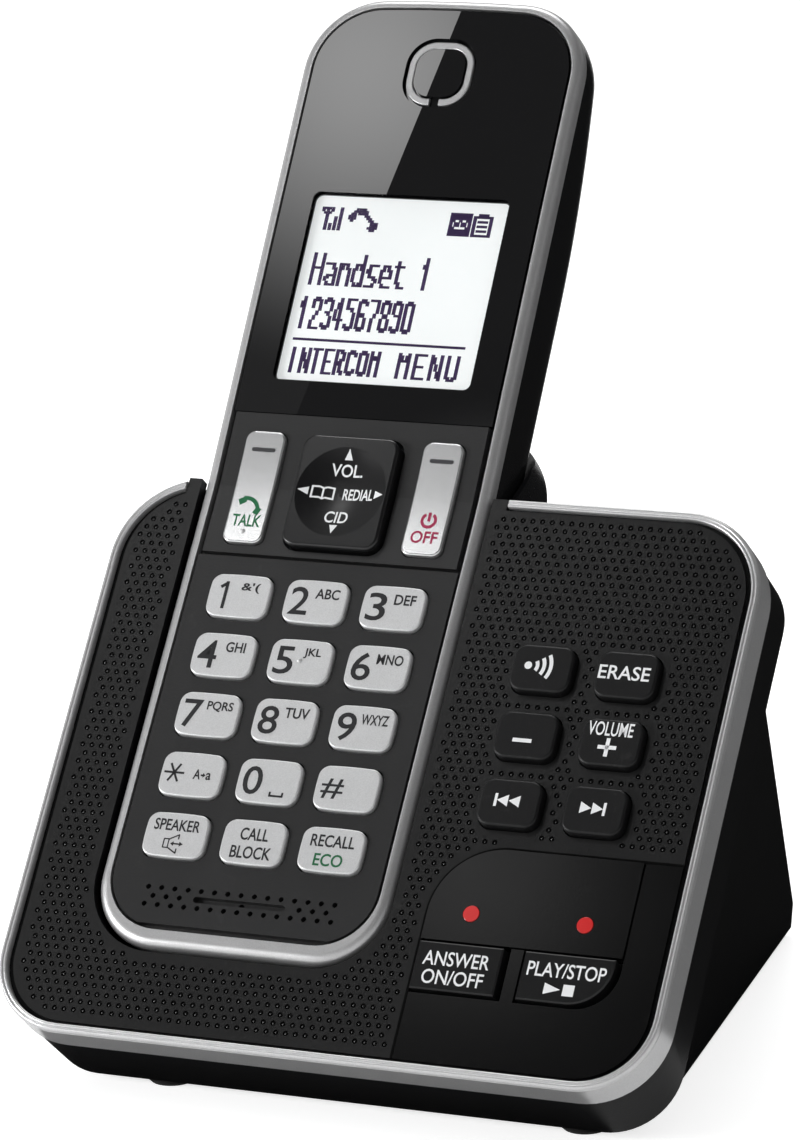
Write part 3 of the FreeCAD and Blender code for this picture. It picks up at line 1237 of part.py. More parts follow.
# ---------------------------------------------------------------- the whole object
def build():
    """All sub-parts by name, in the desk frame before centring."""
    outer = handset_body(0)
    inner = handset_body(HANDSET_WALL)
    parts = {
        "handset_back_case": docked(handset_back_case(outer, inner)),
        "battery_cover": docked(battery_cover(outer)),
        "handset_band": docked(handset_band()),
        "handset_front_case": docked(handset_front_case()),
        "function_panel": docked(function_panel()),
        "display_lens": docked(display_lens()),
        "display_module": docked(display_module()),
        "receiver_ring": docked(receiver_ring()),
        "receiver_capsule": docked(receiver_capsule()),
        "microphone": docked(microphone()),
        "ringer": docked(ringer()),
        "battery_cells": docked(battery_cells()),
        "handset_contacts": docked(handset_contacts()),
        "handset_board": docked(handset_board()),
        "handset_key_mat": docked(handset_key_mat()),
        "handset_screws": docked(handset_screws()),
        "talk_key": docked(talk_or_off_key(-1)),
        "off_key": docked(talk_or_off_key(1)),
        "navigator_key": docked(navigator_key()),
        "navigator_pivot": docked(navigator_pivot()),
        "trim_rim": on_desk(trim_rim()),
        "front_cover": on_desk(front_cover()),
        "control_panel": on_desk(control_panel()),
        "indicator_panel": on_desk(indicator_panel()),
        "indicator_lights": on_desk(indicator_lights()),
        "answer_key": on_desk(bar_key(ANSWER_LEFT, ANSWER_RIGHT, 0)),
        "play_stop_key": on_desk(bar_key(PLAY_LEFT, PLAY_RIGHT, PLAY_CORNER)),
        "cradle_tray": on_desk(cradle_tray()),
        "charge_pin_left": on_desk(charge_pin(-1)),
        "charge_pin_right": on_desk(charge_pin(1)),
        "base_board": on_desk(base_board()),
        "base_key_mat": on_desk(base_key_mat()),
        "base_speaker": on_desk(base_speaker()),
        "rear_housing": rear_housing(),
        "bottom_cover": bottom_cover(),
        "rubber_feet": rubber_feet(),
        "base_screws": base_screws(),
        "line_jack": line_jack(),
        "power_jack": power_jack(),
    }
    for name, x, y in key_places():
        parts[name] = docked(keypad_key(x, y))
    for name, x, y in control_places():
        parts[name] = on_desk(control_key(x, y))
    return parts


def centre_y(parts):
    """Middle of the object from front to back: rim at the front, handset at the back."""
    front = parts["trim_rim"].optimalBoundingBox(False, False).YMin
    back = parts["handset_back_case"].optimalBoundingBox(False, False).YMax
    return (front + back) / 2


os.makedirs("parts", exist_ok=True)
PARTS = build()
CENTRE_Y = centre_y(PARTS)
for name, shape in PARTS.items():
    moved(shape, y=-CENTRE_Y).exportStep("parts/" + name + ".step")
print(len(PARTS), "sub-parts; centre at y =", round(CENTRE_Y, 3))
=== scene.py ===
import math

import bpy
import numpy as np
from mathutils import Matrix, Vector, geometry


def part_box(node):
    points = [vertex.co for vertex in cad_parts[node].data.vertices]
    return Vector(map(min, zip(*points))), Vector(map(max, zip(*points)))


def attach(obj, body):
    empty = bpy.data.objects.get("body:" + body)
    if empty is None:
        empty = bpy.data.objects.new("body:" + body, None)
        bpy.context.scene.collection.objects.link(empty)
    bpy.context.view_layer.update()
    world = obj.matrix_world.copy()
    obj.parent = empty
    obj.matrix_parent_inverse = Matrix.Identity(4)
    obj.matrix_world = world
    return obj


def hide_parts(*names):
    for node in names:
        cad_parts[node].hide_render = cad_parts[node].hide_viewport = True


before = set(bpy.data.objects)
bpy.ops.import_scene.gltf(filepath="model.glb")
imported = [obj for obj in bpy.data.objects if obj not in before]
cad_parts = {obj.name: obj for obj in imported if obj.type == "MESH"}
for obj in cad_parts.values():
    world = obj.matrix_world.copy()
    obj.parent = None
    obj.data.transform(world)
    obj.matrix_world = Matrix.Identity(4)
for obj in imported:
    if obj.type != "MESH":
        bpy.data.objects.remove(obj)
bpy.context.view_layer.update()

# ======================== base housing
# The wedge behind the face and its bottom cover are black ABS mouldings with a fine spark-eroded
# grain. The grain, its uneven gloss and light scuffs are one node group, which every moulded piece
# uses with its own values.
def filled(node, inputs):
    """Gives inputs of a node a value, or another node's output. A node stands for its first output."""
    for socket, value in inputs.items():
        if isinstance(value, bpy.types.Node):
            value = value.outputs[0]
        if isinstance(value, bpy.types.NodeSocket):
            node.id_data.links.new(value, node.inputs[socket])
        else:
            node.inputs[socket].default_value = value
    return node


def new_node(tree, kind, inputs=None, **settings):
    """New shader node in a tree, with these settings and inputs."""
    made = tree.nodes.new("ShaderNode" + kind)
    for setting, value in settings.items():
        setattr(made, setting, value)
    return filled(made, inputs or {})


def maths(tree, operation, *values, kind="Math"):
    """Node that works out an operation on these values, which are vectors if its kind is VectorMath."""
    return new_node(tree, kind, dict(enumerate(values)), operation=operation)


def object_place(tree):
    """Where a point of the surface is, in metres."""
    return new_node(tree, "TexCoord").outputs["Object"]


def surface_group(name, inputs):
    """Node group of a surface with these inputs. Its outputs are a colour, a roughness and a height."""
    group = bpy.data.node_groups.new(name, "ShaderNodeTree")
    for socket, value in inputs.items():
        kind = "Float" if isinstance(value, float) else "Color"
        made = group.interface.new_socket(socket, in_out="INPUT", socket_type="NodeSocket" + kind)
        made.default_value = value
    for socket, kind in (("Colour", "Color"), ("Roughness", "Float"), ("Height", "Float")):
        group.interface.new_socket(socket, in_out="OUTPUT", socket_type="NodeSocket" + kind)
    return group, group.nodes.new("NodeGroupInput").outputs, group.nodes.new("NodeGroupOutput")


grain_group, grain_in, grain_out = surface_group("moulded_grain", {
    "Colour": (0.02, 0.02, 0.02, 1), "Roughness": 0.4, "Uneven gloss": 0.06,
    "Grain per metre": 2500.0, "Scuffs": 0.3})
grain_place = object_place(grain_group)
fine = new_node(grain_group, "TexNoise", {
    "Vector": grain_place, "Scale": grain_in["Grain per metre"], "Detail": 4.0})
broad = new_node(grain_group, "TexNoise", {"Vector": grain_place, "Scale": 60.0, "Detail": 3.0})
scuff = new_node(grain_group, "TexNoise", {
    "Vector": grain_place, "Scale": 340.0, "Detail": 6.0, "Distortion": 1.4})
scuff_mask = new_node(grain_group, "MapRange", {"Value": scuff, "From Min": 0.62, "From Max": 0.78})
scuff_amount = maths(grain_group, "MULTIPLY", scuff_mask, grain_in["Scuffs"])
lighter = new_node(grain_group, "Mix", {
    "Factor": scuff_amount, "A": grain_in["Colour"], "B": (0.03, 0.03, 0.03, 1)},
    data_type="RGBA", blend_type="SCREEN")
shade = new_node(grain_group, "MapRange", {"Value": broad, "To Min": 0.88, "To Max": 1.12})
shaded = new_node(grain_group, "VectorMath", {0: lighter.outputs["Result"], "Scale": shade}, operation="SCALE")
centred = maths(grain_group, "SUBTRACT", broad, 0.5)
uneven = maths(grain_group, "MULTIPLY_ADD", centred, grain_in["Uneven gloss"], grain_in["Roughness"])
scuffed = maths(grain_group, "MULTIPLY_ADD", scuff_amount, 0.18, uneven)
filled(grain_out, {"Colour": shaded, "Roughness": scuffed, "Height": fine})


def material_and_shader(name):
    """New material, its node tree, and the Principled shader in it."""
    material = bpy.data.materials.new(name)
    material.use_nodes = True
    return material, material.node_tree, material.node_tree.nodes["Principled BSDF"]


deepest_grain = 0.0002


def finished(name, group, values, depth, metallic=0.0, specular=0.5, coat=0.0):
    """Material of one Principled shader, whose colour, roughness and bump come from a node group."""
    material, tree, shader = material_and_shader(name)
    finish = new_node(tree, "Group", values, node_tree=group)
    bump = new_node(tree, "Bump", {
        "Strength": depth, "Distance": deepest_grain, "Height": finish.outputs["Height"]})
    filled(shader, {
        "Base Color": finish.outputs["Colour"], "Roughness": finish.outputs["Roughness"], "Normal": bump,
        "Metallic": metallic, "Specular IOR Level": specular, "Coat Weight": coat, "Coat Roughness": 0.06})
    return material


def moulded(name, colour, roughness, uneven=0.06, grain=2500.0, depth=0.02, scuffs=0.3, **shader):
    """Material of a moulded piece, with the moulded grain."""
    values = {"Colour": (*colour, 1), "Roughness": roughness, "Uneven gloss": uneven,
              "Grain per metre": grain, "Scuffs": scuffs}
    return finished(name, grain_group, values, depth, **shader)


def dress(material, *nodes):
    """Gives CAD nodes this material."""
    for node in nodes:
        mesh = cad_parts[node].data
        mesh.materials.clear()
        mesh.materials.append(material)


housing_black = moulded("housing_black", (0.008, 0.008, 0.0084), 0.42, depth=0.12, grain=3200.0, specular=0.10)
dress(housing_black, "rear_housing", "bottom_cover")

# ======================== feet and screws
# Four soft rubber feet are pressed over the screws of the bottom cover. The screws are zinc plated
# steel, and so is the ball that the four-way key rocks on.
dress(moulded("foot_rubber", (0.016, 0.016, 0.016), 0.75, depth=0.5, grain=1800.0, scuffs=0.6, specular=0.2),
      "rubber_feet")
dress(moulded("zinc_plate", (0.55, 0.56, 0.58), 0.33, depth=0.06, grain=5000.0, scuffs=0.5, metallic=1.0),
      "base_screws", "handset_screws", "navigator_pivot")

# ======================== sockets
# The telephone line socket and the power socket are polished black mouldings. They are set in the
# bay at the back of the housing.
dress(moulded("socket_black", (0.012, 0.012, 0.012), 0.25, scuffs=0.1), "line_jack", "power_jack")

# ======================== inside the base
# A green circuit board under its grey silicone contact mat, a loudspeaker, and the two gold plated
# sprung pins that charge the handset.
dress(moulded("board_green", (0.02, 0.12, 0.05), 0.35, depth=0.05, grain=900.0, scuffs=0.2),
      "base_board", "handset_board")
dress(moulded("mat_grey", (0.34, 0.35, 0.37), 0.6, depth=0.2, grain=1500.0), "base_key_mat", "handset_key_mat")
dress(moulded("component_black", (0.03, 0.03, 0.032), 0.5, depth=0.3, grain=1200.0),
      "base_speaker", "ringer", "microphone", "receiver_capsule")
dress(moulded("gold_plate", (0.80, 0.58, 0.25), 0.25, depth=0.04, grain=6000.0, metallic=1.0),
      "charge_pin_left", "charge_pin_right", "handset_contacts")

# ======================== cradle
# The trough that the handset stands in and the rest behind its back are one smooth black moulding,
# a little polished where the handset slides.
dress(moulded("cradle_black", (0.008, 0.008, 0.009), 0.26, depth=0.05, scuffs=0.2, specular=0.25),
      "cradle_tray")

# ======================== dotted cover
# Satin black cover of the leaning face, moulded with rows of small domes, each sunk in a ring, that
# stop about a millimetre from each edge. Its sides and back are the CAD cover's own, and only its
# front is new.

# Points on the face are in millimetres: x across, y up from the lower edge, z out of the face. The
# face leans back by 50 degrees, and the ball under the four-way key tells where it is. The upper
# half of the handset is turned forward about a line across it, and the keys at the bend by half.
face_lean = math.radians(50.0)
bend_y = 92.96
bend_angle = math.radians(4.1)
half_bend = bend_angle / 2
handset_x = -17.15
ball_y = -0.45
ball_z = -2.35
face_axes = np.array([[1, 0, 0],
                      [0, math.cos(face_lean), math.sin(face_lean)],
                      [0, -math.sin(face_lean), math.cos(face_lean)]])


def turned_at_bend(points, angle):
    """Points turned about the line across the face at the bend: y and z rotate, x stays."""
    points = np.array(points, float, ndmin=2)
    y, z = points[:, 1] - bend_y, points[:, 2].copy()
    points[:, 1] = bend_y + y * math.cos(angle) - z * math.sin(angle)
    points[:, 2] = y * math.sin(angle) + z * math.cos(angle)
    return points


ball_low, ball_high = (np.array(corner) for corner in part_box("navigator_pivot"))
ball_on_face = turned_at_bend([[handset_x, bend_y + ball_y, ball_z]], half_bend)[0]
face_origin = (ball_low + ball_high) / 2 - ball_on_face @ face_axes / 1000


def placed(points, angle=0.0):
    """Face points in millimetres, turned at the bend by angle, in the object's frame in metres."""
    return turned_at_bend(points, angle) @ face_axes / 1000 + face_origin


def vertices_of(mesh):
    """Vertices of a mesh, in its own units."""
    flat = np.empty(len(mesh.vertices) * 3, dtype=np.float32)
    mesh.vertices.foreach_get("co", flat)
    return flat.reshape(-1, 3)


def vertices_on_face(node):
    """Vertices of a CAD node in face millimetres."""
    return (vertices_of(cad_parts[node].data) - face_origin) @ face_axes.T * 1000


def triangles_of(mesh):
    """Vertex numbers of each triangle of a mesh."""
    mesh.calc_loop_triangles()
    flat = np.empty(len(mesh.loop_triangles) * 3, dtype=np.int32)
    mesh.loop_triangles.foreach_get("vertices", flat)
    return flat.reshape(-1, 3)


def directions(angles):
    """Steps of length 1 in the plane at these angles: their cosine and sine."""
    return np.stack([np.cos(angles), np.sin(angles)], axis=1)


def at_height(plan, height):
    """Points of a flat plan with their height, which is one for all or one for each."""
    return np.column_stack([plan, np.broadcast_to(height, len(plan))])


def facets(*corners):
    """Triangles from three arrays of point numbers."""
    return np.stack(np.broadcast_arrays(*corners), axis=-1).reshape(-1, 3)


def mesh_object(name, points, faces, material):
    """New object at the origin from points in metres and faces."""
    mesh = bpy.data.meshes.new(name)
    mesh.from_pydata(np.array(points).tolist(), [], [list(face) for face in faces])
    mesh.materials.append(material)
    made = bpy.data.objects.new(name, mesh)
    bpy.context.scene.collection.objects.link(made)
    return made


def piece(name, points, faces, material, body):
    """New object that rides on body."""
    made = mesh_object(name, points, faces, material)
    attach(made, body)
    return made


def smooth(mesh, sharp_from=180.0):
    """Shades a mesh smooth, but for the edges that turn by more than this angle in degrees."""
    mesh.polygons.foreach_set("use_smooth", np.ones(len(mesh.polygons), dtype=bool))
    mesh.set_sharp_from_angle(angle=math.radians(sharp_from))


def border_edges(triangles):
    """Edges that only one of these triangles has."""
    edges = np.concatenate([triangles[:, (0, 1)], triangles[:, (1, 2)], triangles[:, (2, 0)]]).astype(np.int64)
    width = edges.max() + 1
    return edges[~np.isin(edges[:, 0] * width + edges[:, 1], edges[:, 1] * width + edges[:, 0])]


def distance_to_edges(points, starts, ends):
    """Least distance in the plane from each point to any straight edge from its start to its end."""
    least = np.full(len(points), np.inf)
    for start, along in zip(starts, ends - starts):
        share = np.clip((points - start) @ along / max(along @ along, 1e-12), 0, 1)
        least = np.minimum(least, np.linalg.norm(points - start - share[:, None] * along, axis=1))
    return least


def within_edges(points, starts, ends):
    """True where a line to the right of the point crosses an odd number of edges."""
    odd = np.zeros(len(points), bool)
    for (x0, y0), (x1, y1) in zip(starts, ends):
        if abs(y1 - y0) > 1e-9:
            between = (points[:, 1] > y0) != (points[:, 1] > y1)
            odd ^= between & (points[:, 0] < x0 + (points[:, 1] - y0) * (x1 - x0) / (y1 - y0))
    return odd


def dimpled(points, triangles, front, edges, dots, radius, sides, rings):
    """Points and triangles of a plate whose front at z = 0, inside its border edges, is sunk in a
    ring round each dot. The front is triangulated again round the dots' rims. Each ring of a dot is
    the rim times a share, at a depth, and the last ring closes on a point at z = 0."""
    starts, ends = points[edges[:, 0], :2], points[edges[:, 1], :2]
    border, edge_place = np.unique(edges, return_inverse=True)
    circle = radius * directions(np.arange(sides) * 2 * math.pi / sides)
    rims = (dots[:, None] + circle).reshape(-1, 2)
    ring_numbers = np.arange(len(rims)).reshape(-1, sides)
    rim_edges = len(border) + np.stack([ring_numbers, np.roll(ring_numbers, -1, axis=1)], axis=-1)
    plan = np.concatenate([points[border][:, :2], rims])
    spots, _, fans, sources, _, _ = geometry.delaunay_2d_cdt(
        [Vector(spot) for spot in plan.tolist()],
        np.concatenate([edge_place.reshape(-1, 2), rim_edges.reshape(-1, 2)]).tolist(), [], 0, 1e-5, True)
    numbers = np.concatenate([border, len(points) + np.arange(len(rims))])
    source = np.array([places[0] for places in sources])
    fans = np.array(fans)
    middles = np.array([tuple(spot) for spot in spots])[fans].mean(axis=1)
    dot_of = np.where(source < len(border), -1 - source, (source - len(border)) // sides)[fans]
    in_dimple = (dot_of[:, 0] == dot_of[:, 1]) & (dot_of[:, 1] == dot_of[:, 2])
    kept = within_edges(middles, starts, ends) & ~in_dimple
    parts = [points, at_height(rims, 0.0)]
    faces = [triangles[~front], numbers[source[fans[kept]]]]
    outer = len(points) + ring_numbers
    for share, ring_depth in rings:
        ring = (dots[:, None] + circle * share).reshape(-1, 2)
        inner = sum(map(len, parts)) + ring_numbers
        after_outer, after_inner = np.roll(outer, -1, axis=1), np.roll(inner, -1, axis=1)
        faces += [facets(outer, after_outer, after_inner), facets(outer, after_inner, inner)]
        parts.append(at_height(ring, ring_depth))
        outer = inner
    middle = sum(map(len, parts)) + np.arange(len(dots))[:, None]
    faces.append(facets(outer, np.roll(outer, -1, axis=1), middle))
    return np.concatenate(parts + [at_height(dots, 0.0)]), np.concatenate(faces)


dot_pitch_x = 1.617
dot_pitch_y = 1.397
dot_seed = (27.3, 86.4)
dot_rows, dot_columns = np.arange(-70, 8), np.arange(-60, 30)
dot_radius = 0.46
dot_sides = 8
dot_clearance = 1.08
dot_rings = ((0.84, -0.36), (0.62, -0.34), (0.36, -0.06))
face_tolerance = 0.01
cover_points, same = np.unique(np.round(vertices_on_face("front_cover"), 4), axis=0, return_inverse=True)
cover_triangles = same.reshape(-1)[triangles_of(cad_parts["front_cover"].data)]
row, column = np.meshgrid(dot_rows, dot_columns, indexing="ij")
dots = np.stack([dot_seed[0] + (column + 0.5 * (row % 2)) * dot_pitch_x,
                 dot_seed[1] + row * dot_pitch_y], axis=-1).reshape(-1, 2)
cover_front = (np.abs(cover_points[cover_triangles][:, :, 2]) < face_tolerance).all(axis=1)
cover_border = border_edges(cover_triangles[cover_front])
border_starts, border_ends = cover_points[cover_border[:, 0], :2], cover_points[cover_border[:, 1], :2]
dots = dots[within_edges(dots, border_starts, border_ends)]
dots = dots[distance_to_edges(dots, border_starts, border_ends) > dot_clearance]
dotted_points, dotted_triangles = dimpled(cover_points, cover_triangles, cover_front, cover_border, dots,
                                          dot_radius, dot_sides, dot_rings)
cover_black = moulded("cover_black", (0.0045, 0.0045, 0.0047), 0.33, depth=0.15, scuffs=0.25)
dotted_cover = piece("dotted_cover", placed(dotted_points), dotted_triangles, cover_black, "base")
smooth(dotted_cover.data, sharp_from=15.0)
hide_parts("front_cover")

# ======================== silver rim
# Plastic moulding round the face, painted in a fine metallic silver. The paint is one node group: tiny flakes
# under a thin clear coat, each with its own faint bump and a painted glint that makes its colour a little
# lighter or darker at random.
flakes_per_metre = 9000.0
flake_bump = 0.03
flake_group, flake_in, flake_out = surface_group("silver_flakes", {
    "Colour": (0.5, 0.5, 0.5, 1), "Roughness": 0.3, "Flakes per metre": flakes_per_metre, "Sparkle": 0.12})
flake_place = object_place(flake_group)
flakes = new_node(flake_group, "TexVoronoi", {"Vector": flake_place, "Scale": flake_in["Flakes per metre"]})
cloud = new_node(flake_group, "TexNoise", {"Vector": flake_place, "Scale": 220.0, "Detail": 4.0})
# Each flake's glint is painted into its colour: a random lighter or darker tone stands in for the light it
# catches.
glint = new_node(flake_group, "SeparateColor", {0: flakes.outputs["Color"]})
glint_change = maths(flake_group, "SUBTRACT", glint, 0.5)
glint_level = maths(flake_group, "MULTIPLY_ADD", glint_change, flake_in["Sparkle"], 1.0)
cloud_level = new_node(flake_group, "MapRange", {"Value": cloud, "To Min": 0.96, "To Max": 1.04})
glint_and_tone_level = maths(flake_group, "MULTIPLY", glint_level, cloud_level)
colour_with_glints = new_node(flake_group, "VectorMath", {0: flake_in["Colour"], "Scale": glint_and_tone_level},
                        operation="SCALE")
flake_gloss = maths(flake_group, "MULTIPLY", flake_in["Roughness"], cloud_level)
filled(flake_out, {"Colour": colour_with_glints, "Roughness": flake_gloss, "Height": glint.outputs[1]})


def painted(name, colour, roughness, sparkle=0.12, **shader):
    """Material of a piece painted with fine metallic flakes."""
    values = {"Colour": (*colour, 1), "Roughness": roughness, "Flakes per metre": flakes_per_metre,
              "Sparkle": sparkle}
    return finished(name, flake_group, values, flake_bump, **shader)


rim_silver = painted("rim_silver", (0.64, 0.64, 0.645), 0.29, metallic=0.6, coat=0.2)

# The rim is drawn round the face from one side of the handset's cradle to the other. Its front has
# two rounded beads, a fine step, and a long side that widens to the back. Its ends are the CAD
# rim's own, looked for in the band at its top.
rim_half_width = 54.54
rim_height = 94.0
rim_low_corner = 12.4
rim_top_corner = 14.3
rim_upper_band = 3.0
rim_profile = np.array([
    (1.45, -0.75), (1.45, 0.20), (1.41, 0.36), (1.32, 0.46), (1.20, 0.50), (1.04, 0.50), (0.94, 0.45),
    (0.88, 0.37), (0.84, 0.37), (0.78, 0.45), (0.70, 0.49), (0.52, 0.50), (0.40, 0.46), (0.29, 0.35),
    (0.19, 0.18), (0.11, 0.0), (0.10, -0.14), (0.19, -0.20), (0.19, -0.30), (0.10, -0.36), (0.0, -5.30),
    (1.45, -5.30)])
rim_on_face = vertices_on_face("trim_rim")
rim_upper = rim_on_face[rim_on_face[:, 1] > rim_height - rim_upper_band]
rim_left_end = rim_upper[rim_upper[:, 0] < handset_x, 0].max()
rim_right_end = rim_upper[rim_upper[:, 0] > handset_x, 0].min()
left_centre = (rim_top_corner - rim_half_width, rim_height - rim_top_corner)
last_turn = math.degrees(math.acos((rim_left_end - left_centre[0]) / rim_top_corner)) - 360


def round_the_face(steps=14):
    """Points and outward directions round the face: each corner is a quarter circle about its centre,
    but for the last, which stops at the cradle."""
    points, outwards = [(rim_right_end, rim_height)], [(0.0, 1.0)]
    for side_x, side_y, radius, first, last in (
            (1, 1, rim_top_corner, 90, 0), (1, 0, rim_low_corner, 0, -90),
            (-1, 0, rim_low_corner, -90, -180), (-1, 1, rim_top_corner, -180, last_turn)):
        outward = directions(np.radians(np.linspace(first, last, steps + 1)))
        centre = (side_x * (rim_half_width - radius), rim_height - radius if side_y else radius)
        points += (centre + radius * outward).tolist()
        outwards += outward.tolist()
    return np.array(points), np.array(outwards)


def carried(profile, path, outwards):
    """Closed surface of a profile carried along a path in the plane of the face: each point is the
    path's, moved against the outward direction by the profile's first value and raised by its second.
    The profile runs anticlockwise, so that the faces point outwards.
    The last ring is cut upright: y = centre + sqrt(radius^2 - (x - centre)^2) at the cradle's x."""
    along, round_it = len(path), len(profile)
    spots = path[:, None] - outwards[:, None] * profile[None, :, :1]
    heights = np.broadcast_to(profile[None, :, 1:], (along, round_it, 1))
    points = np.concatenate([spots, heights], axis=2).reshape(-1, 3)
    radii = rim_top_corner - profile[:, 0]
    points[-round_it:, 0] = rim_left_end
    points[-round_it:, 1] = left_centre[1] + np.sqrt(radii ** 2 - (rim_left_end - left_centre[0]) ** 2)
    number = np.arange(along * round_it).reshape(along, round_it)
    after = np.roll(number, -1, axis=1)
    sides = np.stack([number[:-1], number[1:], after[1:], after[:-1]], axis=-1).reshape(-1, 4)
    return points, sides.tolist() + [number[0].tolist(), number[-1, ::-1].tolist()]


rim_path, rim_outwards = round_the_face()
rim_points, rim_faces = carried(rim_profile, rim_path, rim_outwards)
silver_rim = piece("silver_rim", placed(rim_points), rim_faces, rim_silver, "base")
smooth(silver_rim.data, sharp_from=50.0)
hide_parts("trim_rim")

# A black ledge closes the gap between the rim and the cover.
ledge_profile = np.array([(1.45, -0.75), (1.45, -0.90), (2.60, -0.90), (2.60, -0.75)])
ledge_points, ledge_faces = carried(ledge_profile, rim_path, rim_outwards)
rim_ledge = piece("rim_ledge", placed(ledge_points), ledge_faces, housing_black, "base")

# ======================== control panel
# Polished black surround of the keys, with a satin panel in which two clear red light guides sit.
# Both are clipped in from behind.
dress(moulded("panel_gloss", (0.002, 0.002, 0.0021), 0.15, uneven=0.04, depth=0.01, scuffs=0.15),
      "control_panel")
dress(moulded("light_panel_satin", (0.002, 0.002, 0.0021), 0.15, uneven=0.04, scuffs=0.15), "indicator_panel")
dress(moulded("light_red", (0.60, 0.018, 0.018), 0.2, depth=0.0, scuffs=0.0, coat=0.3), "indicator_lights")

# The joint between the dotted cover and this area is an open line. Its dark inside is painted shade: a flat,
# nearly black sheet just above the face.
joint_width = 0.44
joint_sweep = 11.0
joint_lift = 0.02
below_face = -0.5
# Nearly black with almost no gloss, so that the sheet reads as the shade inside the gap: painted shade.
joint_painted_shade = moulded("joint_painted_shade", (0.001, 0.001, 0.001), 0.6, depth=0.0, scuffs=0.1, specular=0.05)
surround = vertices_on_face("control_panel")
surround = surround[surround[:, 2] > below_face][:, :2]
surround_left, surround_low = surround.min(axis=0)
surround_right, surround_top = surround.max(axis=0)
sweep_middle = (surround_left + joint_sweep, surround_top - joint_sweep)
sweep_rays = directions(np.linspace(0, math.pi / 2, 25)) * (-1, 1)
joint_rays = np.concatenate([[(-1.0, 0.0)], sweep_rays, [(0.0, 1.0)]])
joint_inner = np.concatenate([[(surround_left, surround_low)], sweep_middle + joint_sweep * sweep_rays,
                              [(surround_right, surround_top)]])
joint_plan = np.concatenate([joint_inner, joint_inner + joint_rays * joint_width])
joint_count = len(joint_inner)
joint_faces = [(k, k + 1, k + joint_count + 1, k + joint_count) for k in range(joint_count - 1)]
joint_line = piece("cover_joint", placed(at_height(joint_plan, joint_lift)), joint_faces, joint_painted_shade, "base")

# ======================== keys of the base
# Six raised keys of soft black rubber and two wide satin ones of hard plastic. Their signs are
# screen printed in white, here thin sheets 0.03 mm above the key that ride on it.
dress(moulded("rubber_black", (0.008, 0.008, 0.0084), 0.40, depth=0.15, specular=0.25),
      "locator_key", "erase_key", "volume_down_key", "volume_up_key", "skip_back_key", "skip_forward_key")
dress(moulded("bar_black", (0.007, 0.007, 0.0074), 0.30, depth=0.08, scuffs=0.2, specular=0.35),
      "answer_key", "play_stop_key")


def word(text, x, y, width, height, bold=0.0):
    """Flat points and triangles of a word whose box is this wide and high, with its middle at (x, y)."""
    curve = bpy.data.curves.new("word", "FONT")
    curve.body = text
    curve.resolution_u = 4
    curve.offset = bold
    temporary = bpy.data.objects.new("word", curve)
    mesh = bpy.data.meshes.new_from_object(temporary)
    points, triangles = vertices_of(mesh)[:, :2].astype(float), triangles_of(mesh)
    bpy.data.objects.remove(temporary)
    bpy.data.meshes.remove(mesh)
    bpy.data.curves.remove(curve)
    low, high = points.min(axis=0), points.max(axis=0)
    return (points - (low + high) / 2) / (high - low) * (width, height) + (x, y), triangles


def shape(*corners):
    """Flat convex shape from its corners, listed anticlockwise, as a fan of triangles."""
    return np.array(corners, float), np.array([(0, i, i + 1) for i in range(1, len(corners) - 1)])


def bar(x, y, width, height):
    """Rectangle with its middle at (x, y)."""
    return shape((x - width / 2, y - height / 2), (x + width / 2, y - height / 2),
                 (x + width / 2, y + height / 2), (x - width / 2, y + height / 2))


def line(start, end, width):
    """Straight stroke of this width: its corners are the ends moved half the width to each side."""
    start, end = np.array(start, float), np.array(end, float)
    along = (end - start) / np.linalg.norm(end - start) * width / 2
    side = np.array([-along[1], along[0]])
    return shape(start - side, end - side, end + side, start + side)


def arc(x, y, radius, width, first, last, steps=16):
    """Stroke along a circle about (x, y), between two angles in degrees."""
    ray = directions(np.radians(np.linspace(first, last, steps + 1)))
    inner = np.arange(steps)
    outer = inner + steps + 1
    points = np.concatenate([(x, y) + (radius - width / 2) * ray, (x, y) + (radius + width / 2) * ray])
    return points, np.concatenate([facets(inner, outer, outer + 1), facets(inner, outer + 1, inner + 1)])


def strokes(width, *spots):
    """Straight strokes of this width from each spot to the next."""
    return [line(start, end, width) for start, end in zip(spots, spots[1:])]


def disc(x, y, radius, corners=20):
    """Round spot about (x, y)."""
    return shape(*(directions(np.arange(corners) * 2 * math.pi / corners) * radius + (x, y)))


ink_lift = 0.03


def printed(name, parts, ink, body, middle, top, angle=0.0):
    """Sheet of ink: the parts joined, moved so that (0, 0) is at middle, and lifted above the key's
    top, which is a height or a function of x and y that gives it."""
    starts = np.cumsum([0] + [len(points) for points, _ in parts[:-1]])
    points = np.concatenate([points for points, _ in parts])
    triangles = np.concatenate([triangles + start for (_, triangles), start in zip(parts, starts)])
    height = top(points[:, 0], points[:, 1]) if callable(top) else top
    sheet = piece(name, placed(at_height(points + middle, height + ink_lift), angle), triangles, ink, body)


def middle_and_top(node, angle=0.0):
    """Middle of a key in face millimetres, and the height of its top, with its turn at the bend undone."""
    points = turned_at_bend(vertices_on_face(node), -angle)
    low, high = points.min(axis=0), points.max(axis=0)
    return (low[:2] + high[:2]) / 2, high[2]


def label(node, signs, ink, shift=(0.0, 0.0)):
    """Prints signs on top of a key of the base or the keypad, moved this far from its middle."""
    middle, top = middle_and_top(node)
    printed(node + "_sign", signs, ink, node, middle + shift, top)


def ink(name, colour):
    """Material of screen printed ink."""
    return moulded(name, colour, 0.45, depth=0.05, grain=6000.0, scuffs=0.1)


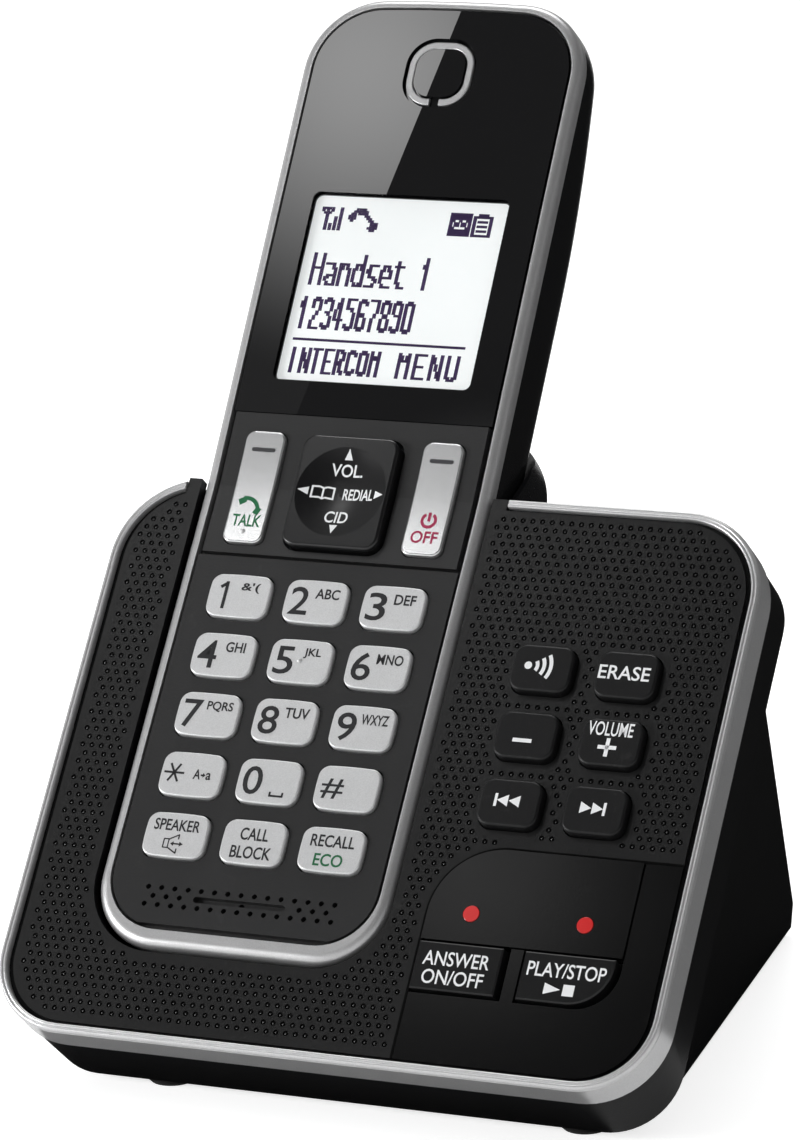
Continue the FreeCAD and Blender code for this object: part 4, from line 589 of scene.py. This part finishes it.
white_ink = ink("white_ink", (0.85, 0.86, 0.87))
skip_signs = [bar(-1.9, 0.0, 0.45, 2.1), shape((-1.7, 0), (0.1, -0.95), (0.1, 0.95)),
              shape((0.2, 0), (2.0, -0.95), (2.0, 0.95))]
rubber_signs = {
    "locator_key": [disc(-1.9, 0.0, 0.62)] + [arc(-1.9, 0.0, reach, 0.6, -31, 31) for reach in (1.5, 2.6, 3.7)],
    "erase_key": [word("ERASE", 0.0, 0.0, 8.3, 2.3, bold=0.012)],
    "volume_down_key": [bar(0.0, -1.2, 3.1, 0.62)],
    "volume_up_key": [word("VOLUME", 0.0, 1.85, 7.3, 2.3, bold=0.012), bar(0.0, -1.15, 3.0, 0.62),
                      bar(0.0, -1.15, 0.62, 3.0)],
    "skip_back_key": skip_signs,
    "skip_forward_key": [(points * (-1, -1), triangles) for points, triangles in skip_signs],
}
for node, signs in rubber_signs.items():
    label(node, signs, white_ink, shift=(-0.35, 0.3))
label("answer_key", [word("ANSWER", -0.2, 1.2, 10.7, 2.3, bold=0.01),
                     word("ON/OFF", -0.2, -1.75, 9.9, 2.3, bold=0.01)], white_ink)
play_sign = shape((-3.0, -2.65), (-0.4, -1.75), (-3.0, -0.85))
stop_sign = bar(0.9, -1.75, 1.8, 1.8)
label("play_stop_key", [word("PLAY/STOP", 0.0, 1.2, 12.5, 2.3, bold=0.01), play_sign, stop_sign], white_ink)

# ======================== handset case
# Smooth black back with its battery cover and two cells, and the satin black front with the panel
# for the talk keys. The band between them is painted silver.
dress(moulded("back_black", (0.006, 0.006, 0.0065), 0.22, depth=0.03, scuffs=0.25, specular=0.28),
      "handset_back_case", "battery_cover")
dress(moulded("cell_sleeve", (0.30, 0.42, 0.36), 0.4, depth=0.05), "battery_cells")
dress(moulded("front_black", (0.013, 0.013, 0.0135), 0.38, depth=0.12, scuffs=0.2), "handset_front_case")
dress(moulded("talk_panel_black", (0.018, 0.018, 0.0185), 0.36, depth=0.10, scuffs=0.2), "function_panel")
dress(painted("band_silver", (0.56, 0.56, 0.565), 0.38, metallic=0.7, coat=0.1),
      "handset_band", "receiver_ring")

# ======================== display
# The polished front window is clear over the display and printed black behind the rest. Its clear
# part is a rounded rectangle, found from Object coordinates turned to the window's own plane.
lens_left = -34.15
lens_low = 18.6
window_width = 34.0
window_height = 32.6
window_corner = 1.2
window_blur = 0.03
clear_film = 0.04
lens_gloss = moulded("lens_gloss", (0.003, 0.003, 0.0035), 0.0, uneven=0.0, depth=0.0, scuffs=0.04)
lens_tree = lens_gloss.node_tree
window_on_face = [lens_left + window_width / 2, bend_y + lens_low + window_height / 2, 0.0]
window_middle = placed(window_on_face, bend_angle)[0]
on_window = new_node(lens_tree, "Mapping", {
    "Vector": object_place(lens_tree), "Location": window_middle, "Rotation": (face_lean + bend_angle, 0, 0)},
    vector_type="TEXTURE")
from_middle = maths(lens_tree, "ABSOLUTE", on_window, kind="VectorMath")
straight_part = ((window_width / 2 - window_corner) / 1000, (window_height / 2 - window_corner) / 1000, 1.0)
past_corner = maths(lens_tree, "SUBTRACT", from_middle, straight_part, kind="VectorMath")
not_inside = maths(lens_tree, "MAXIMUM", past_corner, (0, 0, 0), kind="VectorMath")
corner_distance = maths(lens_tree, "LENGTH", not_inside, kind="VectorMath").outputs["Value"]
printed_part = new_node(lens_tree, "MapRange", {
    "Value": corner_distance, "From Min": (window_corner - window_blur) / 1000,
    "From Max": (window_corner + window_blur) / 1000, "To Min": clear_film})
filled(lens_tree.nodes["Principled BSDF"], {"Alpha": printed_part})
dress(lens_gloss, "display_lens")

# The module behind it is lit from within, white with a faint unevenness.
lit_white = moulded("lit_white", (0.60, 0.62, 0.62), 0.5, depth=0.0, scuffs=0.0)
filled(lit_white.node_tree.nodes["Principled BSDF"], {
    "Emission Color": (0.93, 0.96, 0.96, 1), "Emission Strength": 0.56})
dress(lit_white, "display_module")

# Its dark picture points are squares of 0.4 mm. Letters and numbers are drawn as strokes on a cell
# of four columns and seven rows, each pair of figures a column and a row.
point_size = 0.40
first_point = (0.2, 0.3)
points_lift = 0.02
letter_strokes = {
    "0": "01 05 16 26 35 31 20 10 01", "1": "04 16 10", "2": "04 05 16 26 35 34 01 00 30",
    "3": "05 16 26 35 34 23 13|23 32 31 20 10 01", "4": "20 26 03 02 32",
    "5": "36 06 04 24 33 31 20 10 01", "6": "35 26 16 05 01 10 20 31 32 23 13 02", "7": "06 36 34 12 10",
    "8": "13 04 05 16 26 35 34 23 13 02 01 10 20 31 32 23", "9": "01 10 20 31 35 26 16 05 04 13 23 34",
    "I": "10 16", "N": "00 06 30 36", "T": "06 36|16 10", "E": "36 06 00 30|03 23",
    "R": "00 06 26 35 34 23 03|13 30", "C": "35 26 16 05 01 10 20 31", "O": "01 05 16 26 35 31 20 10 01",
    "M": "00 06 14 24 36 30", "U": "06 01 10 20 31 36", "H": "00 06|03 33|36 30",
    "a": "04 24 33 30 10 01 12 32", "n": "00 04|03 14 24 33 30", "d": "36 30|33 24 14 03 01 10 20 31",
    "s": "34 14 03 12 22 31 20 00", "e": "02 32 33 24 14 03 01 10 30", "t": "15 11 20 30|04 24", " ": "",
}


def stroke_points(text, left, low, columns, rows, step):
    """Picture points of a text whose letters are so many points wide and high, a step apart."""
    found = set()
    for place, letter in enumerate(text):
        for stroke in letter_strokes[letter].split("|"):
            corners = [(int(pair[0]) * (columns - 1) / 3, int(pair[1]) * (rows - 1) / 6)
                       for pair in stroke.split()]
            for (x0, y0), (x1, y1) in zip(corners, corners[1:]):
                share = np.linspace(0, 1, 2 * int(max(abs(x1 - x0), abs(y1 - y0))) + 2)
                across = np.floor(x0 + share * (x1 - x0) + 0.5).astype(int)
                up = np.floor(y0 + share * (y1 - y0) + 0.5).astype(int)
                found |= set(zip((left + place * step + across).tolist(), (low + up).tolist()))
    return found


def sign_points(picture, left, low):
    """Picture points of a sign drawn in rows of characters, the top row first."""
    return {(left + x, low + y) for y, marks in enumerate(reversed(picture))
            for x, mark in enumerate(marks) if mark == "#"}


aerial_sign = ["#####...#", "#.#.#...#", ".###....#", "..#.....#", "..#...#.#", "..#...#.#",
               "..#...#.#", "..#.#.#.#", "..#.#.#.#", "..#.#.#.#"]
call_sign = ["...####......", "..######.....", ".##.####.....", "###....##....", "###.....##...",
             ".#.......##..", "..........###", "..........###", ".........####", "..........##."]
tape_sign = ["#########", "#########", "#########", "##..#..##", "#.##.##.#", "#.##.##.#",
             "##.....##", "#########", "#########", "#########"]
battery_sign = ["..####..", "########", "#......#", "#.####.#", "#......#", "#.####.#", "#......#",
                "#.####.#", "#......#", "########"]
points_on = (sign_points(aerial_sign, 4, 66) | sign_points(call_sign, 16, 66)
             | sign_points(tape_sign, 60, 66) | sign_points(battery_sign, 70, 66)
             | stroke_points("Handset 1", 5, 42, 5, 14, 6)
             | stroke_points("1234567890", 4, 23, 4, 14, 5)
             | {(x, 18) for x in range(4, 78)}
             | stroke_points("INTERCOM", 4, 4, 4, 11, 5) | stroke_points("MENU", 51, 4, 5, 11, 7))
cells = np.array(sorted(points_on), float) * point_size + (lens_left, lens_low + bend_y) + first_point
half_width, half_height = 0.80 * point_size, 0.56 * point_size
corners = np.array([(-half_width, -half_height), (half_width, -half_height),
                    (half_width, half_height), (-half_width, half_height)])
cell_corners = (cells[:, None] + corners).reshape(-1, 2)
module_front = turned_at_bend(vertices_on_face("display_module"), -bend_angle)[:, 2].max()
violet_points = moulded("violet_points", (0.050, 0.022, 0.105), 0.5, depth=0.0, scuffs=0.0)
display_points = piece(
    "display_points", placed(at_height(cell_corners, module_front + points_lift), bend_angle),
    np.arange(len(cell_corners)).reshape(-1, 4), violet_points, "handset")

# ======================== talk keys and four-way key
# Two long silver keys with a shallow scoop, and a polished black key with a round dish that rocks
# four ways. Their printing follows the scoop and the dish.
key_silver = painted("key_silver", (0.66, 0.665, 0.67), 0.36, metallic=0.4, sparkle=0.14)
dress(painted("talk_silver", (0.70, 0.705, 0.71), 0.24, metallic=0.75, sparkle=0.16), "talk_key", "off_key")
dress(moulded("navigator_gloss", (0.008, 0.008, 0.0085), 0.24, scuffs=0.2), "navigator_key")
talk_middle_height = 0.8
scoop_radius = 134.3
dish_radius = 7.6
dish_depth = 1.1
grey_ink = ink("grey_ink", (0.045, 0.045, 0.05))
green_ink = ink("green_ink", (0.005, 0.13, 0.045))
crimson_ink = ink("crimson_ink", (0.36, 0.02, 0.075))


def scoop(x, y):
    """Height of a talk key's scooped top: its middle height plus y squared over twice the radius."""
    return talk_middle_height + y ** 2 / (2 * scoop_radius)


def dish(x, y):
    """Height of the four-way key's dish: a ball's bottom, as deep as the dish, below the flat top."""
    ball = (dish_radius ** 2 + dish_depth ** 2) / (2 * dish_depth)
    sunk = np.sqrt(ball ** 2 - np.minimum(x ** 2 + y ** 2, dish_radius ** 2)) - (ball - dish_depth)
    return navigator_top - sunk


talk_middle, _ = middle_and_top("talk_key", half_bend)
off_middle, _ = middle_and_top("off_key", half_bend)
top_bar = [bar(0.1, 6.4, 3.4, 0.68), disc(-1.6, 6.4, 0.34), disc(1.8, 6.4, 0.34)]
for node, middle in (("talk_key", talk_middle), ("off_key", off_middle)):
    printed(node + "_bar", top_bar, grey_ink, node, middle, scoop, half_bend)
lifted_phone = [arc(-0.75, -4.15, 2.25, 0.66, 8, 104), line((-1.95, -2.7), (-0.85, -2.1), 1.0),
                line((1.15, -4.55), (1.7, -3.45), 1.0)]
printed("talk_key_words", lifted_phone + [word("TALK", 0.1, -5.75, 4.9, 2.05, bold=0.018)], green_ink,
        "talk_key", talk_middle, scoop, half_bend)
power_sign = [arc(0.2, -3.55, 1.12, 0.5, 122, 418, 28), bar(0.2, -2.95, 0.5, 1.5)]
printed("off_key_words", power_sign + [word("OFF", 0.1, -6.45, 4.5, 2.1, bold=0.018)], crimson_ink, "off_key",
        off_middle, scoop, half_bend)
navigator_middle, navigator_top = middle_and_top("navigator_key", half_bend)
book = [bar(-5.05, 0.0, 0.32, 1.9), bar(-1.45, -0.05, 0.32, 1.9), bar(-3.25, -0.1, 0.3, 1.9),
        *strokes(0.3, (-5.2, 0.85), (-3.9, 0.95), (-3.25, 0.7), (-2.6, 0.95), (-1.3, 0.8)),
        *strokes(0.3, (-5.2, -0.95), (-3.7, -0.85), (-3.25, -1.1), (-2.8, -0.85), (-1.3, -1.0))]
navigator_signs = [
    shape((-0.68, 5.55), (0.68, 5.55), (0.0, 7.35)), word("VOL.", 0.1, 3.85, 5.4, 2.05, bold=0.015),
    shape((-5.6, 0.68), (-7.35, 0.0), (-5.6, -0.68)), shape((5.7, -0.68), (7.25, 0.0), (5.7, 0.68)),
    word("REDIAL", 2.8, -0.05, 5.3, 1.9, bold=0.02), word("CID", 0.05, -4.1, 3.9, 2.05, bold=0.015),
    shape((0.68, -5.5), (-0.68, -5.5), (0.0, -7.1))]
printed("navigator_key_signs", navigator_signs + book, white_ink, "navigator_key", navigator_middle, dish,
        half_bend)

# ======================== keypad
# Fifteen keys of hard plastic, painted in a silver like the talk keys'. Their numbers and letters
# are printed dark grey.
keypad_words = {"2": ("ABC", 4.05), "3": ("DEF", 3.6), "4": ("GHI", 3.3), "5": ("JKL", 2.9), "6": ("MNO", 4.4),
                "7": ("PQRS", 4.4), "8": ("TUV", 4.1), "9": ("WXYZ", 4.55)}
dark_ink = ink("dark_ink", (0.012, 0.012, 0.014))
keypad_signs = {"key_" + digit: [word(digit, -2.65, 0.0, 3.2, 4.7, bold=0.008),
                                 word(letters, 1.85, 1.4, width, 1.75, bold=0.018)]
                for digit, (letters, width) in keypad_words.items()}
keypad_signs["key_1"] = [bar(-2.35, 0.0, 0.55, 4.65), line((-3.35, 1.3), (-2.3, 2.05), 0.55),
                         word("&'(", 1.75, 1.45, 3.2, 1.75, bold=0.02)]
keypad_signs["key_0"] = [word("0", -2.65, 0.0, 3.2, 4.7, bold=0.008), bar(1.75, -2.3, 2.4, 0.33),
                         bar(0.7, -2.0, 0.33, 0.7), bar(2.8, -2.0, 0.33, 0.7)]
star_arms = [line((-2.95 - 1.7 * math.cos(turn), 0.1 - 1.7 * math.sin(turn)),
                  (-2.95 + 1.7 * math.cos(turn), 0.1 + 1.7 * math.sin(turn)), 0.36)
             for turn in (0, math.pi / 3, 2 * math.pi / 3)]
keypad_signs["key_star"] = [
    *star_arms, word("A", 0.95, 0.1, 1.2, 1.65, bold=0.02), word("a", 2.9, -0.1, 0.85, 1.2, bold=0.02),
    line((1.6, 0.0), (2.0, 0.0), 0.28), shape((1.95, -0.42), (2.4, 0.0), (1.95, 0.42))]
keypad_signs["key_hash"] = [word("#", -2.35, -0.2, 3.7, 3.3, bold=0.006)]
horn = [bar(-1.35, 0.0, 0.2, 1.5), bar(-0.55, 0.0, 0.2, 1.5),
        bar(-0.95, 0.72, 0.9, 0.2), bar(-0.95, -0.72, 0.9, 0.2),
        line((-0.5, 0.7), (1.05, 1.55), 0.22), line((-0.5, -0.7), (1.05, -1.55), 0.22),
        line((1.0, 1.6), (1.0, 0.75), 0.22), line((1.0, -1.6), (1.0, -0.75), 0.22),
        line((0.3, 0.0), (1.4, 0.0), 0.24), shape((1.3, -0.4), (1.95, 0.0), (1.3, 0.4)),
        shape((0.35, 0.4), (-0.2, 0.0), (0.35, -0.4))]
keypad_signs["speaker_key"] = ([word("SPEAKER", -0.05, 1.6, 7.7, 1.9, bold=0.016)]
                               + [(points + (-0.3, -1.45), triangles) for points, triangles in horn])
keypad_signs["block_key"] = [word("CALL", 0.0, 1.3, 4.7, 2.05, bold=0.016),
                             word("BLOCK", 0.05, -1.7, 6.8, 2.05, bold=0.016)]
keypad_signs["recall_key"] = [word("RECALL", 0.0, 1.4, 7.3, 2.0, bold=0.016)]
for node, signs in keypad_signs.items():
    dress(key_silver, node)
    label(node, signs, dark_ink)
recall_middle, recall_top = middle_and_top("recall_key")
printed("recall_key_lower_sign", [word("ECO", -0.1, -1.7, 4.8, 2.05, bold=0.016)], green_ink, "recall_key",
        recall_middle, recall_top)


def raised_dot(name, x, y, radius, height, floor, angle, body, sides=20, levels=5):
    """Low dome: rings shrink as the cosine and rise as the sine of the same angle, up to a point."""
    climb = np.radians(np.linspace(0, 90, levels + 1)[:-1, None])
    turn = np.arange(sides) * 2 * math.pi / sides
    rings = np.stack(np.broadcast_arrays(
        x + radius * np.cos(climb) * np.cos(turn), y + radius * np.cos(climb) * np.sin(turn),
        floor + height * np.sin(climb)), axis=-1).reshape(-1, 3)
    near = np.arange(sides)
    after = np.roll(near, -1)
    below = [r * sides for r in range(levels - 1)]
    bands = [facets(low + near, low + after, low + sides + after) for low in below]
    bands += [facets(low + near, low + sides + after, low + sides + near) for low in below]
    last = (levels - 1) * sides
    tip = facets(last + near, last + after, last + sides)
    dome = piece(name, placed(np.concatenate([rings, [[x, y, floor + height]]]), angle),
                 np.concatenate(bands + [tip]), key_silver, body)
    smooth(dome.data)


# A small raised dot on the 5 and under TALK lets a finger find them.
five_middle, five_top = middle_and_top("key_5")
raised_dot("key_5_dot", five_middle[0] - 0.1, five_middle[1] + 0.1, 0.42, 0.35, five_top, 0.0, "key_5")
raised_dot("talk_key_dot", talk_middle[0] - 0.1, talk_middle[1] - 7.6, 0.45, 0.35, scoop(0.0, 7.6), half_bend,
           "talk_key")

# ======================== camera
# A long lens looks at the object from the right and a little above. Its place is told from the
# middle of the face's lower edge.
bpy.context.scene.view_settings.view_transform = "Standard"
camera_data = bpy.data.cameras.new("camera")
camera_data.lens = 179.68
camera_data.sensor_width = 36.0
camera_data.clip_end = 20.0
camera = bpy.data.objects.new("camera", camera_data)
bpy.context.scene.collection.objects.link(camera)
bpy.context.scene.camera = camera
camera_turn = Matrix(((0.914040, -0.069011, 0.399712),
                      (0.403624, 0.252520, -0.879387),
                      (-0.040248, 0.965127, 0.258667)))
camera_from_face_edge = Vector((0.34660, -0.72100, 0.28921))
camera.matrix_world = Matrix.Translation(camera_from_face_edge + Vector(face_origin)) @ camera_turn.to_4x4()

# ======================== lamps, room and floor
# A tall soft card to the upper left is mirrored in the handset's window, where its straight edge
# shows as a slanting line. Soft lamps fill the sides. The floor is pale and keeps the shadow.
card_middle = Vector((-0.2448, -0.2250, 0.5575))
card_right = Vector((0.75312, -0.65789, 0.0))
card_up = Vector((0.51786, 0.59282, 0.61675))
card_edge_top = (-43.9, 163.5)
card_edge_low = (42.9, -161.2)
card_width = 420.0


def on_card(right, up):
    """Point of the card's plane, so many metres to the right of its middle and up from it."""
    return card_middle + card_right * right + card_up * up


def hang_card(name, corners, material, behind=Vector((0, 0, 0))):
    """Card with these corners in the card's plane, in millimetres, that the camera doesn't see."""
    card = mesh_object(name, [on_card(right / 1000, up / 1000) + behind for right, up in corners],
                       [(0, 1, 2, 3)], material)
    card.visible_camera = False


def glowing(name):
    """Material that only gives light, with its node tree and the node that sets its strength."""
    material, tree, shader = material_and_shader(name)
    tree.nodes.remove(shader)
    light = new_node(tree, "Emission")
    filled(tree.nodes["Material Output"], {"Surface": light})
    return material, tree, light


def pool(tree, right, up, reach, bright, dim):
    """Level that falls smoothly from bright, at a point of the card's plane, to dim at this distance."""
    distance = maths(tree, "DISTANCE", object_place(tree), on_card(right, up), kind="VectorMath")
    return new_node(tree, "MapRange", {
        "Value": distance.outputs["Value"], "From Min": 0.0, "From Max": reach,
        "To Min": bright, "To Max": dim}, interpolation_type="SMOOTHSTEP")


card_glow, card_tree, card_light = glowing("card_glow")
filled(card_light, {"Strength": pool(card_tree, -0.025, 0.024, 0.082, 6.6, 0.36)})
hang_card("light_card", (card_edge_low, card_edge_top, (card_edge_top[0] - card_width, card_edge_top[1]),
                         (card_edge_low[0] - card_width, card_edge_low[1])), card_glow)

# A wide dim sheet right behind the card fades towards the right, with one brighter patch, and gives
# the satin pieces their soft change from left to right.
sheet_left, sheet_right, sheet_low, sheet_high = -500.0, 150.0, -420.0, 320.0
sheet_behind = card_right.cross(card_up) * 0.004
fade_start = card_middle.dot(card_right) + 0.03
fade_length = 0.10
sheet_glow, sheet_tree, sheet_light = glowing("sheet_glow")
across = maths(sheet_tree, "DOT_PRODUCT", object_place(sheet_tree), card_right, kind="VectorMath")
sheet_fade = new_node(sheet_tree, "MapRange", {
    "Value": across.outputs["Value"], "From Min": fade_start, "From Max": fade_start + fade_length,
    "To Min": 0.19, "To Max": 0.02}, interpolation_type="SMOOTHSTEP")
sheet_patch = pool(sheet_tree, 0.080, -0.058, 0.046, 1.5, 0.0)
filled(sheet_light, {"Strength": maths(sheet_tree, "ADD", sheet_fade, sheet_patch)})
hang_card("wide_sheet", ((sheet_right, sheet_low), (sheet_right, sheet_high), (sheet_left, sheet_high),
                         (sheet_left, sheet_low)), sheet_glow, sheet_behind)


def lamp(name, place, target, width, height, power):
    """Rectangular soft lamp at place, in metres, turned towards target."""
    data = bpy.data.lights.new(name, "AREA")
    data.shape = "RECTANGLE"
    data.size, data.size_y, data.energy = width, height, power
    lamp_object = bpy.data.objects.new(name, data)
    bpy.context.scene.collection.objects.link(lamp_object)
    away = Vector(place) - Vector(target)
    lamp_object.matrix_world = Matrix.Translation(place) @ away.to_track_quat("Z", "Y").to_matrix().to_4x4()


object_middle = (0, 0, 0.06)
lamp("left_lamp", (-0.62, -0.52, 0.34), object_middle, 0.35, 0.45, 8.5)
lamp("top_lamp", (-0.25, 0.45, 0.95), object_middle, 0.6, 0.4, 4.0)

# A black card lies and stands on the right. Only reflections show it, and it keeps the right sides dark. Its
# lying part also reaches under the whole object, where it is painted shade: it stands in for the floor's shadow
# as mirrors see it.
card_black, _, card_shader = material_and_shader("card_black")
filled(card_shader, {"Base Color": (0.03, 0.03, 0.03, 1), "Roughness": 1.0, "Specular IOR Level": 0.0})
flag_left, flag_right, flag_front, flag_back = -0.055, 0.60, -0.012, 1.0
# The lying part's front edge is just inside the object's front, so the painted floor shadow covers the floor
# under it.
flag_low, flag_high, floor_shade_front = 0.0005, 0.50, -0.058
flag_and_floor_shade = mesh_object("flag_and_floor_shade_card", [
    (flag_left, floor_shade_front, flag_low), (0.040, floor_shade_front, flag_low), (0.052, flag_front, flag_low),
    (flag_right, flag_front, flag_low), (flag_right, flag_back, flag_low), (flag_left, flag_back, flag_low),
    (flag_right, flag_front, flag_high), (flag_right, flag_back, flag_high), (flag_left, flag_back, flag_high)],
    [(0, 1, 2, 3, 4, 5), (3, 6, 7, 4), (4, 7, 8, 5)], card_black)
flag_and_floor_shade.visible_camera = flag_and_floor_shade.visible_diffuse = flag_and_floor_shade.visible_transmission = flag_and_floor_shade.visible_shadow = False


def camera_and_mirror_rays(tree):
    """Whether a ray comes from the camera, and whether from a mirror or through something clear."""
    seen_by = new_node(tree, "LightPath").outputs
    return seen_by["Is Camera Ray"], maths(
        tree, "MAXIMUM", seen_by["Is Glossy Ray"], seen_by["Is Transmission Ray"])


# The room is an even grey. The camera sees it white, and mirrors see it bright low down and dark above.
world = bpy.data.worlds.new("studio")
bpy.context.scene.world = world
world.use_nodes = True
room_tree = world.node_tree
room = filled(room_tree.nodes["Background"], {"Color": (1, 1, 1, 1), "Strength": 0.50})
room_height = new_node(room_tree, "SeparateXYZ", {0: new_node(room_tree, "TexCoord").outputs["Generated"]})
ceiling = new_node(room_tree, "MapRange", {
    "Value": room_height.outputs["Z"], "From Min": 0.25, "From Max": 0.60, "To Min": 0.95, "To Max": 0.04})
mirrored = new_node(room_tree, "Background", {"Strength": ceiling})
backdrop = new_node(room_tree, "Background", {"Color": (1, 1, 1, 1)})
camera_rays, mirror_rays = camera_and_mirror_rays(room_tree)
room_or_mirror = new_node(room_tree, "MixShader", {"Fac": mirror_rays, 1: room, 2: mirrored})
room_or_backdrop = new_node(room_tree, "MixShader", {"Fac": camera_rays, 1: room_or_mirror, 2: backdrop})
filled(room_tree.nodes["World Output"], {"Surface": room_or_backdrop})

# The floor is pale paper. It glows a little for the camera and less for mirrors, which keeps it
# nearly white.
floor_half = 4.0
floor_paper, floor_tree, paper = material_and_shader("floor_paper")
filled(paper, {"Base Color": (0.80, 0.80, 0.80, 1), "Roughness": 0.9, "Specular IOR Level": 0.1})
camera_rays, mirror_rays = camera_and_mirror_rays(floor_tree)
camera_glow = maths(floor_tree, "MULTIPLY", camera_rays, 0.72)
glow_level = maths(floor_tree, "MULTIPLY_ADD", mirror_rays, 0.25, camera_glow)
glow = new_node(floor_tree, "Emission", {"Color": (1, 1, 1, 1), "Strength": glow_level})
filled(floor_tree.nodes["Material Output"], {"Surface": new_node(floor_tree, "AddShader", {0: paper, 1: glow})})
floor_corners = [(-floor_half, -floor_half, 0), (floor_half, -floor_half, 0), (floor_half, floor_half, 0),
                 (-floor_half, floor_half, 0)]
mesh_object("floor", floor_corners, [(0, 1, 2, 3)], floor_paper)
